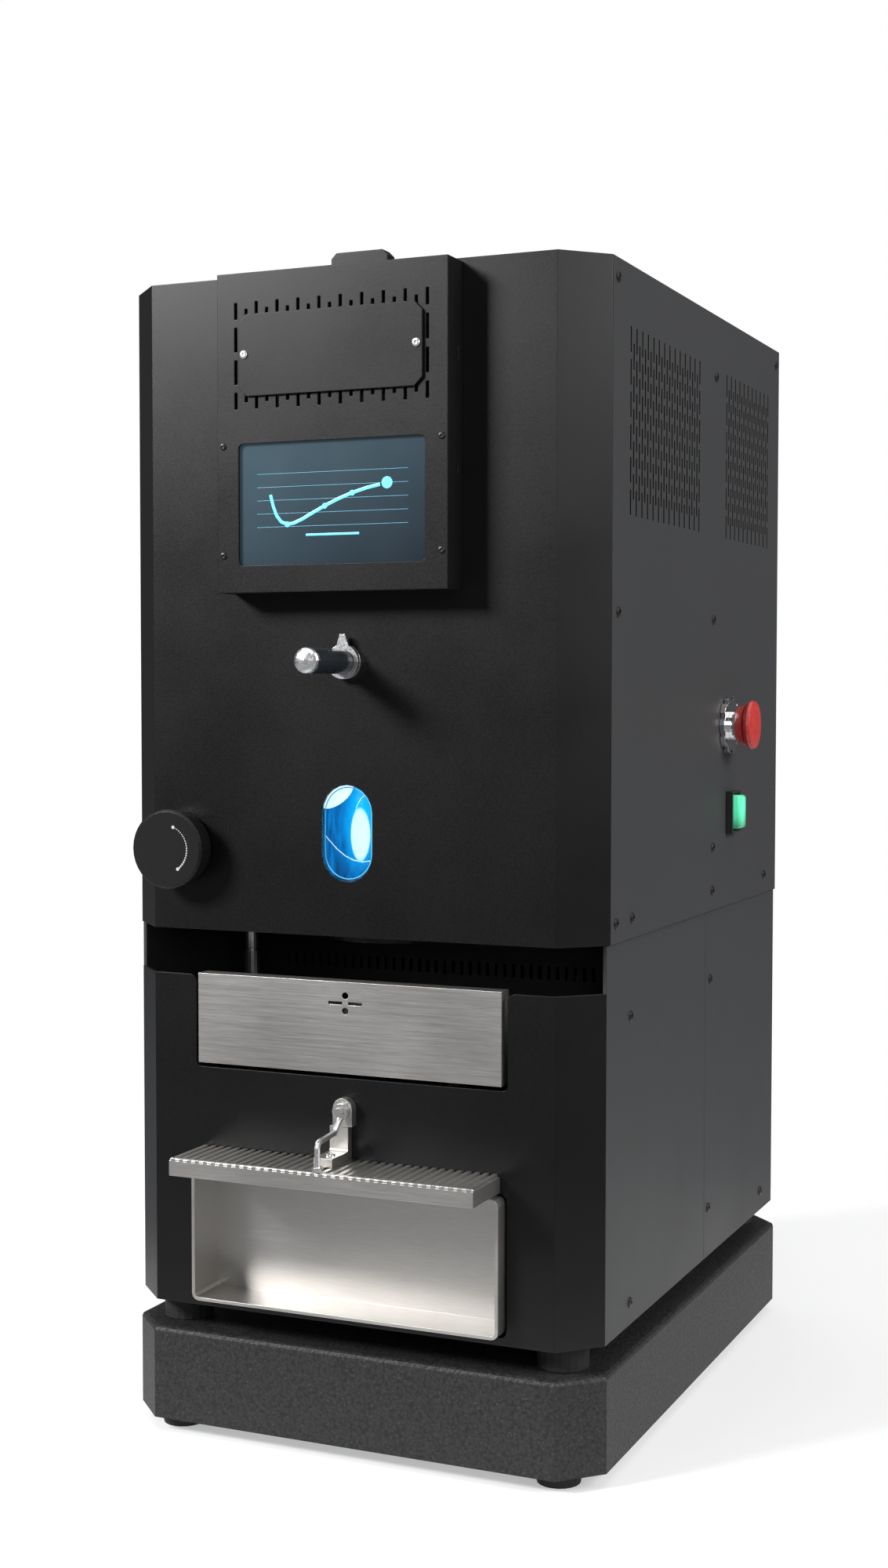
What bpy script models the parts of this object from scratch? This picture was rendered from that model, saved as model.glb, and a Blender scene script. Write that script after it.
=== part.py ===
"""Home coffee bean roaster: a tall sheet-metal cabinet in two housings on a low plinth.

Beans fall from the lid in the top through a funnel into a glass chamber, hot air from the blower
and heater lifts them, and a sliding gate drops them into the cooling tray in the gap below.
X runs to the viewer's right, Y to the back, Z up; the front face of the housings is at y = 0.
"""

import math

import bmesh
import bpy
from mathutils import Matrix, Vector

MM = 0.001

# Clearances and sheets
seam = 0.3 * MM
overrun = 6 * MM
turning_play = 0.06 * MM
sheet = 2 * MM
thin_sheet = 1.5 * MM
bin_sheet = 1.2 * MM
round_steps = 28
small_steps = 12
foot_steps = 20
arc_steps = 3
merge_share = 0.01

# Cabinet
housing_width = 282 * MM
housing_depth = 380 * MM
corner_cut = 22 * MM
lower_inset = 1.5 * MM
base_proud = 1.5 * MM
base_cut = 21 * MM
base_wall = 3 * MM
base_edge = 2.5 * MM
foot_height = 8 * MM
base_height = 52 * MM
stand_off_height = 15 * MM
lower_height = 185 * MM
bay_height = 25 * MM
upper_height = 354 * MM
foot_radius = 12.5 * MM
foot_taper_share = 0.94
foot_inset = 27 * MM
foot_front = 21 * MM
stand_off_radius = 14 * MM
stand_off_inset = 25.5 * MM
stand_off_front = 27 * MM
lower_seam_depth = 201 * MM

# Cooling bay and its tray
deck_depth = 118 * MM
tray_margin = 49.3 * MM
tray_front_height = 49.5 * MM
tray_front_depth = 10 * MM
tray_proud = 2.2 * MM
tray_rise = 2.7 * MM
notch_gap = 2.6 * MM
notch_depth = 51.1 * MM
notch_foot_radius = 3 * MM
notch_mouth_radius = 4 * MM
symbol_drop = 11.5 * MM
symbol_bar_length = 8.2 * MM
symbol_bar_width = 1.7 * MM
symbol_gap = 1.8 * MM
symbol_dot_radius = 1.9 * MM
symbol_dot_rise = 4.1 * MM
basket_inset = 4.2 * MM
basket_length = 104 * MM
basket_height = 21.5 * MM
basket_slot_width = 3 * MM
basket_slot_length = 40 * MM
basket_slot_pitch = 14.5 * MM
basket_slots_across = 11
rail_width = 6 * MM
rail_side = 60 * MM
deck_drop = 0.9 * MM
bay_slot_count = 37
bay_slot_pitch = 5.44 * MM
bay_slot_width = 2.2 * MM
bay_slot_height = 7.8 * MM
bay_slot_drop = 26.2 * MM
conduit_inset = 43 * MM
conduit_depth = 73 * MM
conduit_sleeve_radius = 4.6 * MM
conduit_sleeve_height = 57 * MM
conduit_rod_radius = 3.8 * MM
fan_size = 92 * MM
fan_thickness = 25 * MM
fan_bore_radius = 43 * MM
fan_hub_radius = 15 * MM
fan_hub_height = 18 * MM
fan_seat_thickness = 2.5 * MM
fan_arm_width = 5 * MM
fan_blade_reach = 41 * MM
fan_blade_chord = 17 * MM
fan_blade_thickness = 1.6 * MM
fan_blade_count = 7
fan_root_share = 0.7
fan_blade_pitch = math.radians(38)

# Chaff drawer, shelf and catch
chaff_margin = 48.3 * MM
chaff_bottom_rise = 5.3 * MM
chaff_front_height = 73.7 * MM
chaff_proud = 9 * MM
chaff_dish_depth = 29 * MM
chaff_corner = 4 * MM
chaff_wall = 1.8 * MM
chaff_gap = 1.3 * MM
bin_inset = 6.2 * MM
bin_length = 92 * MM
bin_height = 66 * MM
bin_rise = 7 * MM
runner_side = 70 * MM
runner_width = 6 * MM
shelf_inset = 2.5 * MM
shelf_reach = 36.7 * MM
shelf_lip = 9.6 * MM
shelf_over_drawer = 1.8 * MM
rib_count = 36
rib_height = 1.4 * MM
rib_share = 0.5
bracket_width = 10.9 * MM
bracket_shift = 2.45 * MM
bracket_sheet = 4.6 * MM
bracket_fold = 1.5 * MM
bracket_foot = 24 * MM
catch_width = 11.4 * MM
catch_block_height = 15 * MM
catch_block_thickness = 5.6 * MM
catch_block_rise = 18.7 * MM
catch_pin_drop = 6.8 * MM
catch_pin_radius = 1.7 * MM
catch_hub_radius = 4.4 * MM
catch_hub_thickness = 3 * MM
catch_rod_radius = 1.6 * MM
catch_knee_drop = 10 * MM
catch_knee_reach = 15.5 * MM
catch_elbow_drop = 11.4 * MM
catch_reach = 35.2 * MM
catch_bend = 3 * MM
catch_pad_radius = 2.8 * MM
catch_pad_height = 2.2 * MM
screw_head_radius = 2.5 * MM
screw_head_height = 1.6 * MM

# Upper housing, display and window
display_width = 133.7 * MM
display_height = 168.5 * MM
display_reach = 19.2 * MM
display_drop = 1.9 * MM
screen_width = 108.6 * MM
screen_height = 64.3 * MM
screen_corner = 2.5 * MM
screen_drop = 89.8 * MM
screen_margin = 4 * MM
screen_thickness = 4 * MM
plate_width = 106.5 * MM
plate_height = 43 * MM
plate_corner = 4.5 * MM
plate_thickness = 1.2 * MM
plate_drop = 22 * MM
display_slot_width = 1.8 * MM
display_slot_pitch = 12.35 * MM
display_slot_reach = 6.6 * MM
display_short_reach = 3 * MM
display_slot_tuck = 2.5 * MM
display_end_slots = 8
column_side = 55.6 * MM
column_long = 12.8 * MM
column_short = 8.7 * MM
column_gap = 4.3 * MM
slit_long = 7.5 * MM
slit_short = 5.2 * MM
slit_width = 1.6 * MM
slit_depth = 6.6 * MM
slit_drop = 44 * MM
slit_spacing = 59.5 * MM
wiring_hole_width = 60 * MM
wiring_hole_height = 40 * MM
window_width = 30.2 * MM
window_height = 51.8 * MM
window_rise = 55.5 * MM
glass_overlap = 4 * MM
glass_thickness = 3 * MM

# Side ventilation: staggered columns of upright slots
vent_drop = 31.7 * MM
vent_slot_width = 2 * MM
vent_slot_height = 13.4 * MM
vent_row_pitch = 17 * MM
vent_rows = 6
vent_column_pitch = 9.64 * MM
front_field_depth = 51.4 * MM
front_field_columns = 14
rear_field_depth = 234 * MM
rear_field_columns = 11
plain_slot_count = 10
rear_slot_pitch = 16 * MM
rear_slot_height = 40 * MM
rear_slot_width = 3 * MM
rear_slot_count = 12

# Bean path
chamber_depth = 62 * MM
chamber_radius = 40 * MM
chamber_wall = 2.5 * MM
chute_wall = 1.5 * MM
chute_radius = 37.5 * MM
chute_drop = 6 * MM
chute_top_rise = 8 * MM
gate_thickness = 2 * MM
gate_width = 84 * MM
air_ring_height = 16.4 * MM
air_slot_count = 12
air_slot_width = 3 * MM
air_slot_height = 6 * MM
air_ring_radius = 52 * MM
air_ring_wall = 1.5 * MM
air_ring_leg_radius = 3 * MM
glass_height = 81.4 * MM
head_height = 60 * MM
head_neck_radius = 18 * MM
head_port_radius = 14.5 * MM
head_port_drop = 17 * MM
funnel_mouth_radius = 33 * MM
funnel_cone_height = 70 * MM
funnel_wall = 1.2 * MM
feed_radius = 31 * MM

# Feed lid
lid_width = 92 * MM
lid_front = 16 * MM
lid_length = 94 * MM
lid_thickness = 2.4 * MM
lid_handle_width = 33.2 * MM
lid_handle_height = 12 * MM
lid_handle_depth = 9 * MM
lid_handle_cut = 3 * MM
hinge_knuckle_radius = 3.4 * MM
hinge_knuckle_width = 40 * MM
hinge_pin_radius = 1.5 * MM
hinge_ear_width = 6 * MM
hinge_ear_depth = 7 * MM
hinge_ear_rise = 2.4 * MM
hinge_swing_gap = 1.2 * MM

# Sampler
sampler_rise = 147 * MM
sampler_cap_radius = 7 * MM
sampler_cap_length = 6 * MM
cap_root_share = 0.82
cap_waist_share = 0.35
sampler_grip_radius = 6.6 * MM
sampler_grip_length = 38 * MM
sampler_gap = 0.5 * MM
sampler_flange_radius = 9.2 * MM
sampler_flange_thickness = 2 * MM
sampler_groove = 0.8 * MM
sampler_groove_depth = 0.9 * MM
sampler_tab_reach = 14.6 * MM
sampler_tab_width = 7 * MM
sampler_tab_tip = 3 * MM
sampler_tube_radius = 6.8 * MM
sampler_rod_radius = 5.2 * MM
sampler_scoop_length = 44 * MM
sampler_tip_length = 5 * MM
sampler_scoop_wall = 1 * MM

# Knob
knob_inset = 39 * MM
knob_rise = 45 * MM
knob_radius = 21.8 * MM
knob_depth = 14 * MM
knob_gap = 2 * MM
knob_edge = 1.2 * MM
knob_taper = 1.8 * MM
knob_shaft_radius = 3 * MM
knob_shaft_length = 12 * MM
control_radius = 10 * MM
control_length = 14 * MM
control_steps = 16

# Stop button and rocker switch on the right side
stop_depth = 238.5 * MM
stop_rise = 111 * MM
stop_collar_radius = 17.5 * MM
stop_collar_thickness = 3 * MM
stop_notches = 10
stop_notch_depth = 2.2 * MM
stop_notch_width = 4 * MM
stop_barrel_radius = 10.7 * MM
stop_barrel_length = 24 * MM
stop_neck_radius = 9 * MM
stop_neck_reach = 11.6 * MM
stop_head_radius = 14.9 * MM
stop_head_root = 10 * MM
stop_head_depth = 7 * MM
head_waist_share = 0.35
head_flare_share = 0.95
head_crown_share = 0.6
stop_travel = 4 * MM
rocker_depth = 247 * MM
rocker_rise = 57.5 * MM
rocker_frame_height = 25.6 * MM
rocker_frame_width = 19 * MM
rocker_frame_thickness = 4 * MM
rocker_body_height = 24 * MM
rocker_body_width = 17 * MM
rocker_body_depth = 20 * MM
rocker_opening_height = 22.8 * MM
rocker_opening_width = 15.2 * MM
rocker_width = 14.6 * MM
rocker_radius = 15 * MM
rocker_reach = 9.5 * MM
rocker_spread = math.radians(42.5)
rocker_tilt = math.radians(5)
rocker_root = 4 * MM
keel_share = 0.8

# Hot air and chaff
heater_width = 52 * MM
heater_depth = 126 * MM
heater_length = 48 * MM
heater_height = 128 * MM
heater_leg_side = 52 * MM
heater_leg_width = 6 * MM
heater_leg_height = 11.7 * MM
heater_neck_width = 56 * MM
heater_neck_height = 11 * MM
heater_wall = 1.5 * MM
blower_gap = 16 * MM
blower_rise = 70 * MM
blower_radius = 60 * MM
blower_width = 56 * MM
blower_wall = 3 * MM
blower_inlet_radius = 28 * MM
blower_outlet_height = 28 * MM
blower_leg_width = 6 * MM
blower_leg_length = 40 * MM
motor_radius = 26 * MM
motor_length = 47 * MM
motor_bore_length = 22 * MM
impeller_radius = 50 * MM
impeller_root = 30 * MM
impeller_plate = 2 * MM
impeller_hub = 10 * MM
impeller_shaft = 4 * MM
impeller_blades = 12
impeller_blade_thickness = 1.6 * MM
impeller_blade_width = 30 * MM
impeller_offset = 8 * MM
duct_radius = 14 * MM
duct_back = 30 * MM
duct_bend = 22 * MM
duct_wall = 1.2 * MM
duct_steps = 14

# Power inlet
inlet_inset = 69.5 * MM
inlet_rise = 40 * MM
inlet_width = 30 * MM
inlet_height = 22 * MM
inlet_flange = 1.2 * MM
inlet_body_width = 27 * MM
inlet_body_height = 19 * MM
inlet_body_depth = 20 * MM
inlet_recess_depth = 14 * MM
inlet_recess_margin = 2 * MM
inlet_pin_width = 2 * MM
inlet_pin_height = 4 * MM
inlet_pin_length = 10 * MM
inlet_pin_pitch = 7 * MM

# Levels and planes that follow from the sizes above
upper_half = housing_width / 2
lower_half = upper_half - lower_inset
lower_cut = corner_cut - lower_inset
back = housing_depth
foot_side = upper_half - foot_inset
stand_off_side = lower_half - stand_off_inset
tray_width = 2 * (lower_half - tray_margin)
basket_width = tray_width - 2 * basket_inset
conduit_side = upper_half - conduit_inset
chaff_width = 2 * (lower_half - chaff_margin)
bin_width = chaff_width - 2 * bin_inset
shelf_width = chaff_width - 2 * shelf_inset
knob_side = upper_half - knob_inset
blower_depth = heater_depth + heater_length + blower_gap + blower_radius
inlet_side = lower_half - inlet_inset
base_bottom = foot_height
base_top = base_bottom + base_height
lower_bottom = base_top + stand_off_height
lower_top = lower_bottom + lower_height
upper_bottom = lower_top + bay_height
upper_top = upper_bottom + upper_height
floor_top = upper_bottom + sheet
notch_bottom = lower_top - notch_depth
deck_top = notch_bottom - deck_drop
deck_bottom = deck_top - sheet
tray_bottom = notch_bottom + tray_rise
basket_bottom = tray_bottom - 2 * deck_drop + seam
chaff_bottom = lower_bottom + chaff_bottom_rise
chaff_top = chaff_bottom + chaff_front_height
bin_front = chaff_dish_depth - chaff_proud + seam
shelf_bottom = chaff_top + shelf_over_drawer
shelf_top = shelf_bottom + shelf_lip
gate_bottom = floor_top + chute_top_rise + seam
gate_top = gate_bottom + gate_thickness
ring_bottom = gate_top + seam
ring_top = ring_bottom + air_ring_height
glass_bottom = ring_top + seam
head_bottom = glass_bottom + glass_height + seam
head_top = head_bottom + head_height
display_front = -display_reach
display_top = upper_top - display_drop
display_bottom = display_top - display_height
plate_top = display_top - plate_drop
plate_middle = plate_top - plate_height / 2
screen_top = display_top - screen_drop
screen_middle = screen_top - screen_height / 2
sampler_height = upper_bottom + sampler_rise
window_middle = upper_bottom + window_rise
knob_height = upper_bottom + knob_rise
stop_height = upper_bottom + stop_rise
rocker_height = upper_bottom + rocker_rise
catch_pivot = shelf_top + catch_block_rise + catch_block_height - catch_pin_drop
sampler_front = sampler_grip_length + sampler_cap_length + 2 * sampler_flange_thickness
sampler_front += sampler_groove + 2 * seam + sampler_gap
button_front = upper_half + stop_neck_reach + seam + stop_head_depth

# The row's origin is the middle of the whole machine's footprint
centre_x = (button_front - upper_half) / 2
centre_y = (back + base_proud - sampler_front) / 2

pivots = {}
materials = {}

FINISHES = {
    "satin_black": ((0.022, 0.022, 0.024), 0.5, 0.2),
    "side_grey": ((0.075, 0.077, 0.082), 0.5, 0.2),
    "speckled_black": ((0.03, 0.03, 0.032), 0.7, 0.1),
    "black_rubber": ((0.015, 0.015, 0.015), 0.85, 0.0),
    "brushed_stainless": ((0.55, 0.54, 0.52), 0.32, 1.0),
    "bright_chrome": ((0.8, 0.8, 0.8), 0.08, 1.0),
    "zinc_steel": ((0.42, 0.43, 0.44), 0.4, 0.9),
    "black_plastic": ((0.02, 0.02, 0.021), 0.42, 0.0),
    "screen_glass": ((0.02, 0.06, 0.1), 0.1, 0.0),
    "clear_glass": ((0.5, 0.7, 0.95), 0.05, 0.0),
    "signal_red": ((0.55, 0.02, 0.02), 0.3, 0.0),
    "lit_green": ((0.05, 0.75, 0.4), 0.3, 0.0),
}


def clear_scene():
    for item in list(bpy.data.objects):
        bpy.data.objects.remove(item)


def material(name):
    if name not in materials:
        colour, roughness, metallic = FINISHES[name]
        made = bpy.data.materials.new(name)
        made.use_nodes = True
        shader = made.node_tree.nodes["Principled BSDF"]
        shader.inputs["Base Color"].default_value = (*colour, 1)
        shader.inputs["Roughness"].default_value = roughness
        shader.inputs["Metallic"].default_value = metallic
        materials[name] = made
    return materials[name]


def pivot(name, place, parent=None):
    """An empty at a place given in the cabinet's own frame."""
    empty = bpy.data.objects.new(name, None)
    bpy.context.scene.collection.objects.link(empty)
    empty.parent = parent
    base = pivots[parent.name] if parent else Vector((centre_x, centre_y, 0))
    empty.location = Vector(place) - base
    pivots[name] = Vector(place)
    return empty


def settle(name, bm, parent):
    """Turns a bmesh in the cabinet's frame into an object under a pivot."""
    bmesh.ops.recalc_face_normals(bm, faces=bm.faces)
    origin = pivots[parent.name]
    bmesh.ops.translate(bm, vec=-origin, verts=bm.verts)
    mesh = bpy.data.meshes.new(name)
    bm.to_mesh(mesh)
    bm.free()
    item = bpy.data.objects.new(name, mesh)
    bpy.context.scene.collection.objects.link(item)
    item.parent = parent
    return item


def piece(name, bm, finish, parent):
    item = settle(name, bm, parent)
    item.data.materials.append(material(finish))
    return item


def tool(item, bm, operation):
    """A live Boolean with a hidden helper that holds one or more closed forms."""
    helper = settle(item.name + "_" + operation.lower() + str(len(item.modifiers)), bm, item.parent)
    helper.hide_render = True
    helper.display_type = "WIRE"
    step = item.modifiers.new(operation.title(), "BOOLEAN")
    step.operation = operation
    step.solver = "EXACT"
    step.object = helper
    return item


def cut(item, bm):
    return tool(item, bm, "DIFFERENCE")


def add(item, bm):
    return tool(item, bm, "UNION")


def block(bm, low, high):
    low = Vector(low)
    high = Vector(high)
    size = high - low
    place = Matrix.Translation((low + high) / 2) @ Matrix.Diagonal((*size, 1))
    return bmesh.ops.create_cube(bm, size=1, matrix=place)["verts"]


def flat(axis, pair, height):
    """A point from its two flat coordinates and its height along an axis."""
    a, b = pair
    return {"X": (height, a, b), "Y": (a, height, b), "Z": (a, b, height)}[axis]


def prism(bm, outline, axis, low, high):
    verts = [bm.verts.new(flat(axis, pair, low)) for pair in outline]
    face = bm.faces.new(verts)
    grown = bmesh.ops.extrude_face_region(bm, geom=[face])["geom"]
    moved = [v for v in grown if isinstance(v, bmesh.types.BMVert)]
    bmesh.ops.translate(bm, vec=flat(axis, (0, 0), high - low), verts=moved)
    return moved


def revolve(bm, profile, axis, centre, steps=round_steps):
    """Spins a closed outline of (radius, height) pairs about an axis through a centre."""
    side = {"X": (0, 1, 0), "Y": (1, 0, 0), "Z": (1, 0, 0)}[axis]
    line = {"X": (1, 0, 0), "Y": (0, 1, 0), "Z": (0, 0, 1)}[axis]
    centre = Vector(flat(axis, centre, 0))
    verts = [bm.verts.new(centre + r * Vector(side) + h * Vector(line)) for r, h in profile]
    turns = range(len(verts))
    edges = [bm.edges.new((verts[i - 1], verts[i])) for i in turns if profile[i - 1][0] or profile[i][0]]
    geom = verts + edges
    bmesh.ops.spin(bm, geom=geom, axis=line, cent=centre, steps=steps, angle=math.tau, use_merge=True)
    bmesh.ops.remove_doubles(bm, verts=bm.verts, dist=seam * merge_share)


def bar(bm, radius, axis, centre, low, high, steps=round_steps):
    """A plain round bar: a circle drawn out along an axis."""
    angles = [math.tau * i / steps for i in range(steps)]
    outline = [(centre[0] + radius * math.cos(a), centre[1] + radius * math.sin(a)) for a in angles]
    prism(bm, outline, axis, low, high)


def bore_for(radius, steps=round_steps):
    """The corner radius of a faceted hole whose flats clear a shaft that turns in it."""
    return (radius + turning_play) / math.cos(math.pi / steps)


def tube(bm, outer, inner, axis, centre, low, high, steps=round_steps):
    revolve(bm, [(inner, low), (outer, low), (outer, high), (inner, high)], axis, centre, steps)


def arc(centre, radius, start, end, steps=arc_steps):
    spread = [start + (end - start) * i / steps for i in range(steps + 1)]
    return [(centre[0] + radius * math.cos(a), centre[1] + radius * math.sin(a)) for a in spread]


def rounded_rectangle(middle, width, height, radius, steps=arc_steps):
    x, z = middle
    a = width / 2 - radius
    b = height / 2 - radius
    quarter = math.pi / 2
    corners = [(a, b, 0), (-a, b, 1), (-a, -b, 2), (a, -b, 3)]
    outline = []
    for dx, dz, turn in corners:
        outline += arc((x + dx, z + dz), radius, turn * quarter, (turn + 1) * quarter, steps)
    return outline


def offset_path(path, distance):
    """The same open path moved to its left, with mitred corners."""
    sides = []
    for a, b in zip(path, path[1:]):
        along = (Vector(b) - Vector(a)).normalized()
        sides.append(Vector((-along.y, along.x)))
    moved = []
    for i, point in enumerate(path):
        before = sides[max(i - 1, 0)]
        after = sides[min(i, len(sides) - 1)]
        mitre = (before + after).normalized()
        moved.append(tuple(Vector(point) + mitre * distance / mitre.dot(after)))
    return moved


def bent_sheet(bm, path, thickness, low, high):
    """A folded sheet: its plan is a path thickened to the left, drawn up along Z."""
    prism(bm, path + offset_path(path, thickness)[::-1], "Z", low, high)


def folded_cover(bm, half, slant, low, high, rear=False):
    """A housing's front or rear: one sheet with two slanted corners, whose edges end level."""
    path = [(-half, slant), (-half + slant, 0), (half - slant, 0), (half, slant)]
    inner = offset_path(path, sheet)
    end = half - sheet * math.sqrt(2)
    inner = [(-end, slant)] + inner[1:-1] + [(end, slant)]
    outline = path + inner[::-1]
    if rear:
        outline = [(x, back - y) for x, y in outline]
    prism(bm, outline, "Z", low, high)


def cabinet_outline(half, front, rear, slant, inset):
    """The plan of the cabinet moved inwards by one distance, with its four corners cut."""
    side = half - inset
    y0 = front + inset
    y1 = rear - inset
    c = slant - (2 - math.sqrt(2)) * inset
    outline = [(-side + c, y0), (side - c, y0), (side, y0 + c), (side, y1 - c)]
    return outline + [(side - c, y1), (-side + c, y1), (-side, y1 - c), (-side, y0 + c)]


def hollow(bm, direction, wall):
    """Sinks the one face that looks along a direction, and leaves a wall round it and behind it."""
    direction = Vector(direction)
    bmesh.ops.recalc_face_normals(bm, faces=bm.faces)
    bm.faces.ensure_lookup_table()
    face = max(bm.faces, key=lambda f: (f.normal.dot(direction), f.calc_area()))
    reach = [v.co.dot(direction) for v in bm.verts]
    depth = max(reach) - min(reach) - wall
    bmesh.ops.inset_region(bm, faces=[face], thickness=wall, use_even_offset=True)
    grown = bmesh.ops.extrude_face_region(bm, geom=[face])["geom"]
    bmesh.ops.translate(
        bm, vec=-direction * depth, verts=[v for v in grown if isinstance(v, bmesh.types.BMVert)]
    )
    bmesh.ops.delete(bm, geom=[face], context="FACES_ONLY")


def sweep(bm, points, radius, steps):
    """A round bar along points in the plane x = constant."""
    rings = []
    for i, point in enumerate(points):
        before = (point - points[max(i - 1, 0)]).normalized()
        after = (points[min(i + 1, len(points) - 1)] - point).normalized()
        along = (before + after).normalized()
        up = Vector((1, 0, 0))
        side = along.cross(up)
        stretch = 1 / max(along.dot(after if i < len(points) - 1 else before), 0.5)
        ring = []
        for k in range(steps):
            a = math.tau * k / steps
            ring.append(bm.verts.new(point + radius * (up * math.cos(a) + side * math.sin(a) * stretch)))
        rings.append(ring)
    for low, high in zip(rings, rings[1:]):
        for k in range(steps):
            bm.faces.new((low[k - 1], low[k], high[k], high[k - 1]))
    bm.faces.new(rings[0])
    bm.faces.new(rings[-1])


def bent_points(corners, radius, steps=arc_steps):
    """Corner points with each inner corner replaced by an arc of points."""
    points = [Vector(corners[0])]
    for a, b, c in zip(corners, corners[1:], corners[2:]):
        a, b, c = Vector(a), Vector(b), Vector(c)
        inward = (a - b).normalized()
        outward = (c - b).normalized()
        half_turn = inward.angle(outward) / 2
        reach = radius / math.tan(half_turn)
        middle = b + (inward + outward).normalized() * radius / math.sin(half_turn)
        start = b + inward * reach - middle
        end = b + outward * reach - middle
        points += [middle + start.slerp(end, i / steps) * radius for i in range(steps + 1)]
    return points + [Vector(corners[-1])]


# Base


def make_base(root):
    bm = bmesh.new()
    plan = cabinet_outline(upper_half, -base_proud, back + base_proud, base_cut, 0)
    prism(bm, plan, "Z", base_bottom, base_top)
    hollow(bm, (0, 0, -1), base_wall)
    rim = [e for e in bm.edges if all(v.co.z > base_top - seam for v in e.verts)]
    bmesh.ops.bevel(bm, geom=rim, offset=base_edge, segments=2, profile=0.5, affect="EDGES")
    piece("base_plinth", bm, "speckled_black", root)

    bm = bmesh.new()
    plan = cabinet_outline(upper_half, -base_proud, back + base_proud, base_cut, base_wall + seam)
    prism(bm, plan, "Z", base_bottom, base_bottom + sheet)
    piece("base_plate", bm, "zinc_steel", root)

    for corner, x, y in corners(foot_side, foot_front):
        low = foot_radius * foot_taper_share
        top = foot_height - seam
        bm = bmesh.new()
        revolve(bm, [(0, 0), (low, 0), (foot_radius, top), (0, top)], "Z", (x, y), foot_steps)
        piece("foot_" + corner, bm, "black_rubber", root)
    for corner, x, y in corners(stand_off_side, stand_off_front):
        bm = bmesh.new()
        bar(bm, stand_off_radius, "Z", (x, y), base_top + seam, lower_bottom - seam, foot_steps)
        piece("stand_off_" + corner, bm, "black_plastic", root)


def corners(side, front):
    """The four corner places at one distance from the middle and one from the front and the back."""
    rows = (("front", front), ("rear", back - front))
    hands = (("right", 1), ("left", -1))
    return [(f"{row}_{hand}", sign * side, y) for row, y in rows for hand, sign in hands]


# Lower housing


def make_lower_housing(root):
    h = lower_half
    bm = bmesh.new()
    folded_cover(bm, h, lower_cut, lower_bottom, lower_top)
    cover = piece("lower_front_cover", bm, "satin_black", root)
    cut(cover, tray_notch())
    bm = bmesh.new()
    middle = (0, (chaff_bottom + chaff_top) / 2)
    width = chaff_width + 2 * chaff_gap
    height = chaff_front_height + 2 * chaff_gap
    prism(bm, rounded_rectangle(middle, width, height, chaff_corner), "Y", -overrun, overrun)
    cut(cover, bm)

    side_top = upper_bottom - seam
    for name, sign in (("lower_side_right", 1), ("lower_side_left", -1)):
        bm = bmesh.new()
        xs = sorted((sign * h, sign * (h - sheet)))
        low = (xs[0], lower_cut + seam, lower_bottom)
        block(bm, low, (xs[1], lower_seam_depth - seam, side_top))
        piece(name, bm, "side_grey", root)

    bm = bmesh.new()
    c = lower_cut
    path = [(h, lower_seam_depth), (h, back - c), (h - c, back), (c - h, back), (-h, back - c)]
    path.append((-h, lower_seam_depth))
    bent_sheet(bm, path, sheet, lower_bottom, side_top)
    rear = piece("lower_rear_cover", bm, "side_grey", root)
    bm = bmesh.new()
    rear_slots(bm, (lower_bottom + lower_top) / 2 + rear_slot_height / 2)
    x0 = inlet_side - inlet_body_width / 2 - seam
    z0 = lower_bottom + inlet_rise - inlet_body_height / 2 - seam
    size = (inlet_body_width + 2 * seam, inlet_body_height + 2 * seam)
    block(bm, (x0, back - overrun, z0), (x0 + size[0], back + overrun, z0 + size[1]))
    cut(rear, bm)

    bm = bmesh.new()
    plan = cabinet_outline(h, 0, back, lower_cut, sheet + seam)
    prism(bm, plan, "Z", lower_bottom, lower_bottom + sheet)
    floor = piece("lower_floor", bm, "zinc_steel", root)
    bm = bmesh.new()
    for sign in (1, -1):
        x = sign * runner_side
        low = (x - runner_width / 2, bin_front + overrun, lower_bottom + sheet / 2)
        high = (x + runner_width / 2, bin_front + bin_length - overrun, lower_bottom + bin_rise - seam)
        block(bm, low, high)
    add(floor, bm)


def tray_notch():
    """The cutter for the tray's notch, with rounded feet and rounded shoulders at its mouth."""
    half = tray_width / 2 + notch_gap
    r = notch_foot_radius
    m = notch_mouth_radius
    quarter = math.pi / 2
    right = [(half + m, lower_top + overrun)]
    right += arc((half + m, lower_top - m), m, quarter, 2 * quarter)
    right += arc((half - r, notch_bottom + r), r, 0, -quarter)
    left = [(-x, z) for x, z in reversed(right)]
    bm = bmesh.new()
    prism(bm, right + left, "Y", -overrun, overrun)
    return bm


def rear_slots(bm, top):
    for i in range(rear_slot_count):
        x = (i - (rear_slot_count - 1) / 2) * rear_slot_pitch
        low = (x - rear_slot_width / 2, back - overrun, top - rear_slot_height)
        block(bm, low, (x + rear_slot_width / 2, back + overrun, top))


# Cooling bay


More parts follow.
